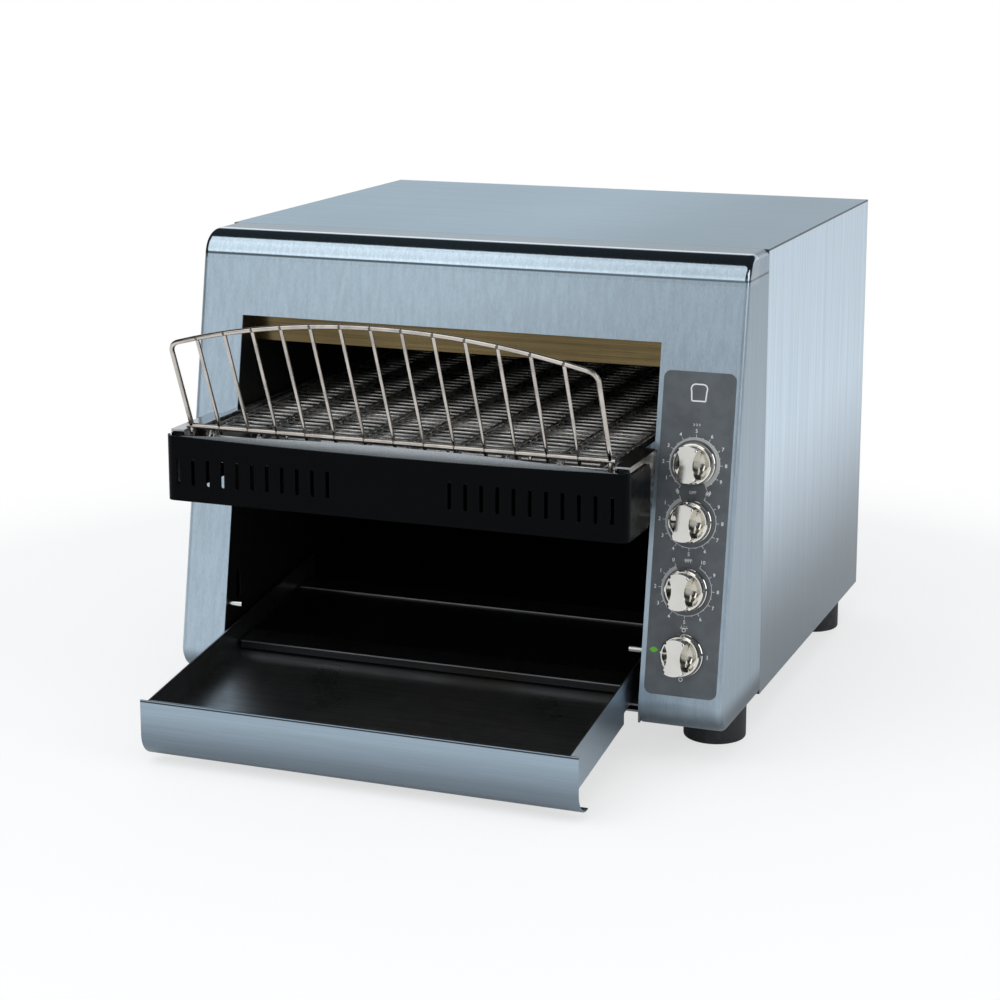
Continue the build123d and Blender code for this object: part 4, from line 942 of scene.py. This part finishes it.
@dataclass
class Conveyor:
    """Wire belt of hooked strands, its shafts and its sides."""

    wire: float = 1.15 * MM
    joints: int = 9
    joint_width: float = 5.0 * MM
    hook_lift: float = 0.8 * MM
    link: float = 12.7 * MM
    band_half: float = 1.2 * MM
    loop: float = 3.0 * MM
    belt_wire: BrightMetal = BrightMetal("belt_wire", (0.60, 0.59, 0.57), 0.24, dull=0.3)

    def build(self) -> None:
        """Dresses the frame of the conveyor and models its belt."""
        dress(BrushedSteel("rail_steel", (0.36, 0.37, 0.38), Grain.DEEP, roughness=0.16,
                           contrast=0.14), "conveyor_side_left", "conveyor_side_right")
        steel = BrightMetal("ground_steel", (0.45, 0.45, 0.44), 0.22, dull=0.2)
        dress(steel, "idler_shaft", "idler_rollers", "drive_shaft", "drive_sprockets")
        dress(BrightMetal("bronze", (0.55, 0.36, 0.18), 0.3, dull=0.2), "shaft_bushes")
        self.belt()

    def belt(self) -> None:
        """Models the belt: each strand hooks over the next one at every joint."""
        low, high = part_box("conveyor_belt")
        idler, drive = middle("idler_shaft"), middle("drive_shaft")
        height = (low.z + high.z) / 2
        turn_radius = (high.z - low.z) / 2 - self.band_half
        run = drive.y - idler.y
        length = 2 * run + math.tau * turn_radius
        strands = round(length / self.link)
        pitch = length / strands

        def on_belt(x: float, travel: float, lift: float) -> Vector:
            """Finds a point along the belt.

            Args:
                x: its place across the belt.
                travel: how far along the belt it is.
                lift: how far outside the belt's middle it is.

            Returns:
                The point.
            """
            travel %= length
            reach = turn_radius + lift
            if travel < run:
                return Vector((x, idler.y + travel, height + reach))
            travel -= run
            if travel < math.pi * turn_radius:
                turn = travel / turn_radius
                return Vector((x, drive.y + reach * math.sin(turn), height + reach * math.cos(turn)))
            travel -= math.pi * turn_radius
            if travel < run:
                return Vector((x, drive.y - travel, height - reach))
            turn = (travel - run) / turn_radius
            return Vector((x, idler.y - reach * math.sin(turn), height - reach * math.cos(turn)))

        left, right = low.x + self.wire, high.x - self.wire
        step = (right - left - self.joint_width) / (self.joints - 1)
        hook = [(0.0, 0.0, 0.0), (0.12, 0.45, 1.0), (0.18, 1.05, 1.0), (0.5, 1.24, 0.0),
                (0.82, 1.05, -1.0), (0.88, 0.45, -1.0), (1.0, 0.0, 0.0)]
        end_loop = [(0.0, 1.0), (0.9, 0.85), (1.0, 0.5), (0.8, 0.12)]
        sheet = bmesh.new()
        for strand in range(strands):
            path = [on_belt(left - self.loop * out, pitch * (strand + ahead), 0.0)
                    for out, ahead in end_loop]
            for joint in range(self.joints):
                start = left + step * joint
                path += [on_belt(start + across * self.joint_width, pitch * (strand + ahead),
                                 self.hook_lift * lift) for across, ahead, lift in hook]
            path += [on_belt(right + self.loop * out, pitch * (strand + ahead), 0.0)
                     for out, ahead in reversed(end_loop)]
            tube(sheet, path, self.wire, 7)
        belt = new_piece("wire_belt", sheet, self.belt_wire, "case", 60.0)
        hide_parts("conveyor_belt")


# ---- Loading front --------------------------------------------------------------------------


@dataclass
class LoadingFront:
    """Black shield, bright lip, ledge and wire guard."""

    bead: float = 2.35 * MM
    lean: float = math.radians(24.0)
    rods: int = 13
    end_rise: float = 78.0 * MM
    crown: float = 27.0 * MM
    wire: float = 4.0 * MM

    def build(self) -> None:
        """Dresses the loading front and models the guard's weld beads."""
        dress(Enamel("black_enamel", (0.0012, 0.0014, 0.0022), shine=0.04), "burn_guard")
        dress(Frosted("blasted_lip", (0.52, 0.56, 0.59)), "front_lip")
        dress(CavitySteel("ledge_steel", (0.16, 0.17, 0.18), Grain.ACROSS, roughness=0.14,
                          stained=0.6), "load_ledge")
        dress(BrightMetal("guard_wire", (0.58, 0.53, 0.48), 0.10, dull=0.25), "wire_guard")
        self.beads()

    def beads(self) -> None:
        """Models a weld bead at both ends of each rod of the guard."""
        low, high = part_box("wire_guard")
        half = (high.x - low.x) / 2 - self.wire
        centre = (high.x + low.x) / 2
        radius = (half**2 + self.crown**2) / (2 * self.crown)
        reach = self.end_rise + self.crown
        base_z = high.z - self.wire / 2 - reach * math.cos(self.lean)
        base_y = low.y + self.wire / 2 + reach * math.sin(self.lean)
        sheet = bmesh.new()
        for n in range(1, self.rods + 1):
            across = half * (2 * n / (self.rods + 1) - 1)
            top = reach - radius + math.sqrt(radius**2 - across**2)
            for rise in (0.0, top):
                spot = Vector((centre + across, base_y - rise * math.sin(self.lean),
                               base_z + rise * math.cos(self.lean)))
                flat = Matrix.Translation(spot) @ Matrix.Diagonal((1.0, 1.0, 0.8, 1.0))
                bmesh.ops.create_uvsphere(sheet, u_segments=14, v_segments=9, radius=self.bead,
                                          matrix=flat)
        new_piece("guard_weld_beads", sheet, BrightMetal("weld_steel", (0.16, 0.14, 0.12), 0.3),
                  "guard", 60.0)


# ---- Tray -----------------------------------------------------------------------------------


@dataclass
class Tray:
    """Catch tray, the slide that feeds it and what carries them."""

    skin: float = 0.3 * MM
    # Painted shade on the apron's lower roll, from the first height above its foot down to the second.
    roll_shade: tuple[float, float] = (42.0 * MM, 12.0 * MM)
    lip: float = 1.2 * MM

    def build(self) -> None:
        """Dresses the tray."""
        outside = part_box("tray_pan")[1].x - self.skin
        pan = CavitySteel("pan_steel", (0.36, 0.37, 0.38), Grain.ACROSS, roughness=0.2,
                          outside=(Grain.ACROSS, outside))
        dress(pan, "tray_pan")
        apron_low, apron_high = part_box("tray_apron")
        shade_from, shade_to = (apron_low.z + height for height in self.roll_shade)
        # Painted light: the apron's tint is the case's stainless steel tinted to how it is lit, with
        # painted shade towards its foot and a painted dark line of shade below its top edge.
        dress(BrushedSteel("apron_steel", (0.335, 0.415, 0.485), Grain.ACROSS, contrast=0.07,
                           smear=0.03, bands=((Grain.UP, shade_from, shade_to, 0.55),),
                           seams=((Grain.UP, apron_high.z - self.lip),), seam_half=0.0004),
              "tray_apron")
        dress(CavitySteel("slide_steel", (0.045, 0.047, 0.05), Grain.ACROSS, roughness=0.24),
              "product_slide")
        dress(BrushedSteel("strip_steel", (0.42, 0.42, 0.42), Grain.ACROSS, roughness=0.2),
              "slide_strips")
        dress(BrightMetal("runner_zinc", (0.3, 0.3, 0.3), 0.35), "tray_runners")
        dress(BrightMetal("pin_steel", (0.7, 0.7, 0.68), 0.15), "tray_hold_pins")


# ---- Controls -------------------------------------------------------------------------------


class Scale(Enum):
    """What is printed round a dial."""

    SPEED = "speed"
    TOP_HEAT = "top_heat"
    BOTTOM_HEAT = "bottom_heat"
    POWER = "power"


@dataclass
class Printer:
    """Lays thin closed solids of ink on a plane."""

    place: Matrix
    rise: float = 0.04 * MM
    thickness: float = 0.05 * MM
    line: float = 0.32 * MM

    def __post_init__(self) -> None:
        """Starts an empty sheet of ink."""
        self.sheet = bmesh.new()

    def outline(self, points: Sequence[tuple[float, float]]) -> None:
        """Prints a filled outline."""
        prism(self.sheet, points, self.rise, self.rise + self.thickness, self.place)

    def stroke(self, start: tuple[float, float], end: tuple[float, float],
               width: float | None = None) -> None:
        """Prints a straight line.

        Args:
            start: its start.
            end: its end.
            width: its width, or None for the usual line.
        """
        half = (width or self.line) / 2
        along = Vector(end) - Vector(start)
        side = Vector((-along.y, along.x)).normalized() * half
        one, two = Vector(start), Vector(end)
        self.outline([tuple(one - side), tuple(two - side), tuple(two + side), tuple(one + side)])

    def band(self, radius: Callable[[float], tuple[float, float]], start: float, end: float,
             steps: int = 48) -> None:
        """Prints a curved band between two clock angles.

        Args:
            radius: gives the inner and outer radius at a share from 0 to 1 of the way.
            start: clock angle in degrees, from the top and clockwise.
            end: clock angle at its other end.
            steps: how many pieces it has.
        """
        def at(share: float, reach: float) -> tuple[float, float]:
            """Returns the point at a share of the way and a distance from the middle."""
            turn = math.radians(start + (end - start) * share)
            return reach * math.sin(turn), reach * math.cos(turn)
        for n in range(steps):
            one, two = n / steps, (n + 1) / steps
            corners = [at(one, radius(one)[0]), at(two, radius(two)[0]),
                       at(two, radius(two)[1]), at(one, radius(one)[1])]
            self.outline(corners)

    def write(self, text: str, centre: tuple[float, float], height: float) -> None:
        """Prints centred figures or letters.

        Args:
            text: what it says.
            centre: its middle.
            height: height of a capital.
        """
        curve = bpy.data.curves.new("glyphs", "FONT")
        curve.body = text
        curve.size = height * 1.4
        curve.align_x = "CENTER"
        curve.align_y = "CENTER"
        curve.extrude = self.thickness / 2
        curve.offset = height * 0.012
        curve.resolution_u = 3
        holder = bpy.data.objects.new("glyphs", curve)
        data = bpy.data.meshes.new_from_object(holder)
        shift = Matrix.Translation((*centre, self.rise + self.thickness / 2))
        data.transform(self.place @ shift)
        self.sheet.from_mesh(data)
        bpy.data.objects.remove(holder)
        bpy.data.curves.remove(curve)
        bpy.data.meshes.remove(data)

    def piece(self, name: str, finish: Finish, body: str, slot: str) -> bpy.types.Object:
        """Returns all that was printed as one piece."""
        return new_piece(name, self.sheet, finish, body, None)


@dataclass
class Dial:
    """One control: its printed scale and its plated knob."""

    kind: Scale
    radius: float = 17.0 * MM
    skirt: float = 8.0 * MM
    height: float = 23.5 * MM
    lift: float = 1.3 * MM
    grip_width: float = 17.0 * MM
    waist: float = 2.6 * MM
    plate: float = 0.8 * MM
    ring: float = 20.2 * MM
    figures: float = 25.2 * MM
    figure_height: float = 2.9 * MM

    def place(self) -> Matrix:
        """Finds the dial from its joint.

        Returns:
            The dial's frame: X across, Y up the face, Z out of it.
        """
        joint = next(j for j in frame["joints"] if j["name"] == f"{self.kind.value}_turn")
        out = Vector(joint["axis"]).normalized()
        across = Vector((1, 0, 0))
        up = out.cross(across)
        turn = Matrix((across, up, out)).transposed().to_4x4()
        return Matrix.Translation(joint["pos_m"]) @ turn

    def build(self, chrome: Finish, white: Finish, grey: Finish) -> None:
        """Models the knob and prints the scale."""
        self.knob(chrome)
        self.scale(white, grey)

    def knob(self, chrome: Finish) -> None:
        """Models the knob: a turned skirt and a waisted bar grip.

        Args:
            chrome: its finish.
        """
        place = self.place() @ Matrix.Translation((0, 0, self.lift))
        sheet = bmesh.new()
        rim, top = self.radius, self.skirt
        inner = rim - 2.2 * MM
        lathe(sheet, [(0, 0), (rim - 0.4 * MM, 0), (rim, 0.4 * MM), (rim, 1.8 * MM),
                      (rim - 0.5 * MM, 2.4 * MM), (rim - 0.9 * MM, top - 1.8 * MM),
                      (rim - 1.3 * MM, top - 0.6 * MM), (inner, top), (inner - 0.9 * MM, top),
                      (inner - 1.6 * MM, top - 0.5 * MM), (inner - 3.5 * MM, top - 2.6 * MM),
                      (inner - 7.0 * MM, top - 4.6 * MM), (0, top - 5.2 * MM)], place, 96)
        grip = bmesh.new()
        reach = inner - 0.6 * MM
        half = self.grip_width / 2
        end = math.asin(half / reach)
        bow = (half**2 + self.waist**2 * 4) / (4 * self.waist)
        outline = arc_points((0, 0), reach, math.pi / 2 - end, math.pi / 2 + end, 8)
        corner_y = reach * math.cos(end)
        swing = math.asin(min(1.0, corner_y / (bow + corner_y)))
        side_radius = corner_y / math.sin(swing)
        centre_x = -half - side_radius * math.cos(swing)
        outline += arc_points((centre_x, 0), side_radius, swing, -swing, 12)[1:-1]
        outline += [(-x, -y) for x, y in outline]
        prism(grip, outline, top - 5.5 * MM, self.height, Matrix.Identity(4))
        crown = [e for e in grip.edges
                 if min(v.co.z for v in e.verts) > self.height - 0.1 * MM]
        round_edges(grip, crown, 1.7 * MM, 5)
        grip.transform(place)
        data = bpy.data.meshes.new("grip")
        grip.to_mesh(data)
        grip.free()
        sheet.from_mesh(data)
        bpy.data.meshes.remove(data)
        name = self.kind.value
        knob = new_piece(f"{name}_knob_plated", sheet, chrome, f"{name}_dial", 30.0)
        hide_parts(f"{name}_knob")

    def scale(self, white: Finish, grey: Finish) -> None:
        """Prints the dial's scale and its tapering band.

        Args:
            white: the scale's ink.
            grey: the band's ink.
        """
        ink = Printer(self.place() @ Matrix.Translation((0, 0, self.plate)))
        pale = Printer(ink.place)
        if self.kind is Scale.SPEED:
            self.ticks(ink, -150.0, 30.0, 11)
            self.ring_line(ink, -150.0, 150.0)
            pale.band(lambda share: (self.ring - 0.4 * MM - 2.9 * MM * share,
                                     self.ring - 0.3 * MM), -150.0, 150.0)
            self.chevrons(ink)
        elif self.kind is Scale.POWER:
            ink.write("O", (0, self.ring - 1.0 * MM), self.figure_height * 1.1)
            ink.write("O", (0, 1.0 * MM - self.ring), self.figure_height * 1.1)
            ink.write("I", (self.ring, 0), self.figure_height * 1.1)
            ink.band(lambda share: (0.7 * MM, 1.0 * MM), 0.0, 360.0, 20)
        else:
            self.ticks(ink, -28.0, -30.4, 11)
            self.ring_line(ink, -28.0, -332.0)
            pale.band(lambda share: (self.ring - 0.4 * MM - 2.4 * MM * (1 - share),
                                     self.ring - 0.3 * MM), -28.0, -150.0)
            ink.write("OFF", (0, self.ring + 2.6 * MM), self.figure_height * 0.8)
            self.heat_mark(ink)
        name = self.kind.value
        ink.piece(f"{name}_scale", white, "case", "overlay_grey")
        if self.kind is not Scale.POWER:
            pale.piece(f"{name}_band", grey, "case", "overlay_grey")

    def ticks(self, ink: Printer, start: float, step: float, count: int) -> None:
        """Prints figures with long ticks, and short ticks half way between them.

        Args:
            ink: where they are printed.
            start: clock angle of the first figure, in degrees.
            step: degrees from one figure to the next.
            count: how many figures there are.
        """
        for n in range(2 * count - 1):
            turn = math.radians(start + step * n / 2)
            reach = 2.4 * MM if n % 2 == 0 else 1.1 * MM
            unit = (math.sin(turn), math.cos(turn))
            ink.stroke(tuple(c * self.ring for c in unit), tuple(c * (self.ring + reach) for c in unit))
            if n % 2 == 0:
                ink.write(str(n // 2), tuple(c * self.figures for c in unit), self.figure_height)

    def ring_line(self, ink: Printer, start: float, end: float) -> None:
        """Prints the scale's thin circle."""
        ink.band(lambda share: (self.ring - 0.15 * MM, self.ring + 0.15 * MM), start, end, 72)

    def chevrons(self, ink: Printer) -> None:
        """Prints three chevrons for the belt's travel.

        Args:
            ink: where they are printed.
        """
        tail, tip, half = 0.7 * MM, 0.5 * MM, 1.0 * MM
        for n in (-1, 0, 1):
            x, y = n * 2.2 * MM, self.figures + 5.0 * MM
            ink.stroke((x - tail, y + half), (x + tip, y))
            ink.stroke((x - tail, y - half), (x + tip, y))

    def heat_mark(self, ink: Printer) -> None:
        """Prints a bar with three rays, above it or below it.

        Args:
            ink: where they are printed.
        """
        top = self.kind is Scale.TOP_HEAT
        y = -self.figures - 4.6 * MM
        ink.stroke((-3.2 * MM, y), (3.2 * MM, y), 0.5 * MM)
        for n in (-1, 0, 1):
            near, far = (y - 0.7 * MM, y - 2.0 * MM) if top else (y + 0.7 * MM, y + 2.0 * MM)
            ink.stroke((n * 2.0 * MM, near), (n * 2.0 * MM, far))


@dataclass
class ControlStrip:
    """Printed plate with four dials, and the controls behind it."""

    leaf_length: float = 7.0 * MM
    leaf_place: tuple[float, float] = (-23.0 * MM, 2.0 * MM)
    slice_size: float = 13.0 * MM
    slice_line: float = 1.1 * MM
    slice_rise: float = 55.0 * MM

    def build(self) -> None:
        """Dresses the strip and models its dials and marks."""
        dress(Moulded("overlay_plate", (0.080, 0.091, 0.101), 0.45), "control_overlay")
        chrome = BrightMetal("knob_chrome", (0.78, 0.76, 0.71), 0.07, dull=0.06)
        white = Ink("white_ink", (0.78, 0.79, 0.8))
        grey = Ink("grey_ink", (0.42, 0.43, 0.43))
        for kind in Scale:
            Dial(kind).build(chrome, white, grey)
        self.marks(white)
        spindle = BrightMetal("spindle_steel", (0.5, 0.5, 0.48), 0.25)
        cream = Moulded("cream_moulding", (0.62, 0.57, 0.46))
        for kind in Scale:
            dress(spindle, f"{kind.value}_spindle")
        dress(cream, "top_heat_control", "bottom_heat_control", "power_switch")
        dress(BrightMetal("pot_can", (0.45, 0.45, 0.43), 0.3), "speed_control")

    def marks(self, white: Finish) -> None:
        """Prints a slice of bread at the head of the plate and a green leaf by the switch.

        Args:
            white: ink of the slice.
        """
        speed, power = Dial(Scale.SPEED), Dial(Scale.POWER)
        head = Printer(speed.place() @ Matrix.Translation((0, self.slice_rise, speed.plate)))
        half = self.slice_size / 2
        loaf = arc_points((-half * 0.45, half * 0.45), half * 0.55, math.pi * 1.15, math.pi / 2, 8)
        loaf += arc_points((half * 0.45, half * 0.45), half * 0.55, math.pi / 2, -math.pi * 0.15, 8)
        loaf += [(half * 0.85, -half), (-half * 0.85, -half)]
        closed = [*loaf, loaf[0]]
        for one, two in zip(closed, closed[1:]):
            head.stroke(one, two, self.slice_line)
        head.piece("slice_mark", white, "case", "overlay_grey")
        leaf = Printer(power.place() @ Matrix.Translation((*self.leaf_place, power.plate)))
        reach, bow = self.leaf_length / 2, self.leaf_length * 0.3
        upper = [(reach * (2 * n / 12 - 1), bow * math.sin(math.pi * n / 12)) for n in range(13)]
        lower = [(x, -y) for x, y in reversed(upper[1:-1])]
        leaf.outline([*upper, *lower])
        leaf.piece("leaf_mark", Ink("leaf_green", (0.12, 0.5, 0.03)), "case", "overlay_grey")


# ---- Drive, fan and mains entry -------------------------------------------------------------


@dataclass
class Machinery:
    """What drives the belt, cools the controls and brings the mains in."""

    def build(self) -> None:
        """Dresses the machinery."""
        steel = BrightMetal("drive_steel", (0.42, 0.42, 0.4), 0.3, dull=0.25)
        dress(steel, "belt_chain_sprocket", "motor_chain_sprocket", "motor_shaft", "drive_chain")
        dress(BrushedSteel("bracket_steel", (0.42, 0.44, 0.45), Grain.DEEP, roughness=0.4),
              "motor_bracket")
        dress(Enamel("motor_paint", (0.03, 0.035, 0.04), 0.4), "drive_motor")
        black = Moulded("black_moulding", (0.014, 0.014, 0.016), 0.4)
        dress(black, "fan_frame", "fan_rotor", "cord_gland")
        dress(Moulded("terminal_cream", (0.6, 0.56, 0.46)), "terminal_block")


# ---- Studio ---------------------------------------------------------------------------------


@dataclass
class Softbox:
    """A rectangular lamp aimed at a point."""

    name: str
    place: tuple[float, float, float]
    target: tuple[float, float, float]
    size: tuple[float, float]
    power: float

    def build(self) -> None:
        """Adds the lamp."""
        lamp = bpy.data.lights.new(self.name, "AREA")
        lamp.shape = "RECTANGLE"
        lamp.size, lamp.size_y = self.size
        lamp.energy = self.power
        made = bpy.data.objects.new(self.name, lamp)
        bpy.context.scene.collection.objects.link(made)
        made.location = self.place
        aim = Vector(self.target) - Vector(self.place)
        made.rotation_euler = aim.to_track_quat("-Z", "Y").to_euler()


@dataclass(frozen=True)
class FloorFinish(Finish):
    """Pale floor that keeps the toaster's shadow and is plain white beyond it."""

    near: float = 0.35
    far: float = 0.9
    veil: float = 0.6

    def shade(self, graph: Graph) -> Value:
        """Builds the floor.

        Args:
            graph: the material's nodes.

        Returns:
            The shader.
        """
        place = graph.place()
        tone = graph.noise(place, (3.0, 3.0, 3.0), 2.0)
        colour = graph.mix(tone, (0.90, 0.905, 0.91), (0.93, 0.932, 0.935))
        lit = graph.surface(Base_Color=colour, Roughness=0.6, Specular_IOR_Level=0.1,
                            Emission_Color=colour, Emission_Strength=0.12)
        white = graph.node("ShaderNodeEmission", inputs={"Color": (1.0, 1.0, 1.0, 1.0)})
        distance = graph.node("ShaderNodeVectorMath", {"operation": "LENGTH"}, {0: place}, "Value")
        sight = graph.node("ShaderNodeLightPath")
        far = (distance.rise(self.near, self.far) | self.veil) * sight
        return graph.node("ShaderNodeMixShader", inputs={0: far, 1: lit, 2: white})


@dataclass
class Studio:
    """Floor, world, lamps and camera."""

    camera_place: tuple[float, float, float] = (0.6986, -1.8561, 0.6517)
    turn: float = 0.3665
    pitch: float = 0.2013
    lens: float = 85.17
    shift: float = -0.10
    floor_half: float = 30.0
    flank_start: float = 0.62
    flank_width: float = 0.12
    flank_depth: float = 0.92

    def build(self) -> None:
        """Sets up the studio."""
        self.floor()
        self.world()
        self.lamps()
        self.camera()
        bpy.context.scene.view_settings.view_transform = "Standard"

    def floor(self) -> None:
        """Adds the floor."""
        sheet = bmesh.new()
        bmesh.ops.create_grid(sheet, x_segments=1, y_segments=1, size=self.floor_half)
        data = bpy.data.meshes.new("floor")
        sheet.to_mesh(data)
        sheet.free()
        data.materials.append(FloorFinish("floor_white").material())
        floor = bpy.data.objects.new("floor", data)
        bpy.context.scene.collection.objects.link(floor)

    def world(self) -> None:
        """Builds a white room for the eye, and a lit studio with a dark ceiling for metal."""
        world = bpy.data.worlds.new("studio")
        bpy.context.scene.world = world
        world.use_nodes = True
        graph = Graph(world.node_tree)
        direction = graph.node("ShaderNodeTexCoord", out="Generated")
        across, deep, up = graph.parts(direction)
        angle = graph.node("ShaderNodeMath", {"operation": Sum.ANGLE.value}, {0: up, 1: 0 - deep})
        sweep = graph.node("ShaderNodeValToRGB", {"stops": (
            (0.00, (0.82, 0.84, 0.86)), (0.08, (0.72, 0.75, 0.77)), (0.13, (0.36, 0.39, 0.41)),
            (0.17, (0.03, 0.035, 0.04)), (0.23, (0.03, 0.035, 0.04)), (0.36, (0.16, 0.18, 0.19)),
            (0.40, (0.02, 0.024, 0.026)), (0.86, (0.03, 0.036, 0.04)), (0.90, (0.90, 0.94, 0.97)),
            (0.96, (1.15, 1.18, 1.20)), (1.00, (1.10, 1.12, 1.14)))},
            {0: angle / math.pi})
        rays = graph.node("ShaderNodeLightPath")
        sight = {name: Value(graph, rays.socket.node.outputs[name])
                 for name in ("Is Camera Ray", "Is Glossy Ray", "Is Transmission Ray")}
        flank = abs(across).rise(self.flank_start, self.flank_start + self.flank_width)
        sweep = graph.mix(flank * self.flank_depth, sweep, (0.02, 0.022, 0.025))
        shiny = sight["Is Glossy Ray"] | sight["Is Transmission Ray"]
        colour = graph.mix(shiny, (0.60, 0.62, 0.64), sweep)
        colour = graph.mix(sight["Is Camera Ray"], colour, (1.0, 1.0, 1.0))
        graph.finish(graph.node("ShaderNodeBackground", inputs={"Color": colour, "Strength": 1.0}),
                     "ShaderNodeOutputWorld")

    def lamps(self) -> None:
        """Adds a large key from above in front, and a fill from the right."""
        target = (0.0, 0.0, 0.2)
        Softbox("key", (-0.6, -1.7, 2.3), target, (3.4, 2.8), 36.0).build()
        Softbox("fill", (2.6, -0.6, 1.2), target, (1.4, 1.6), 14.0).build()

    def camera(self) -> None:
        """Adds the camera."""
        data = bpy.data.cameras.new("camera")
        data.sensor_width = 36.0
        data.lens = self.lens
        data.shift_y = self.shift
        made = bpy.data.objects.new("camera", data)
        bpy.context.scene.collection.objects.link(made)
        made.location = self.camera_place
        made.rotation_euler = (math.pi / 2 - self.pitch, 0.0, self.turn)
        bpy.context.scene.camera = made


def main() -> None:
    """Builds the toaster's looks and the studio."""
    logging.basicConfig(level=logging.INFO, format="%(name)s: %(message)s", stream=sys.stdout)
    for part in (Case(), Oven(), Conveyor(), LoadingFront(), Tray(), ControlStrip(), Machinery()):
        LOG.info("building %s", type(part).__name__)
        part.build()
    Studio().build()


if __name__ == "__main__":
    main()
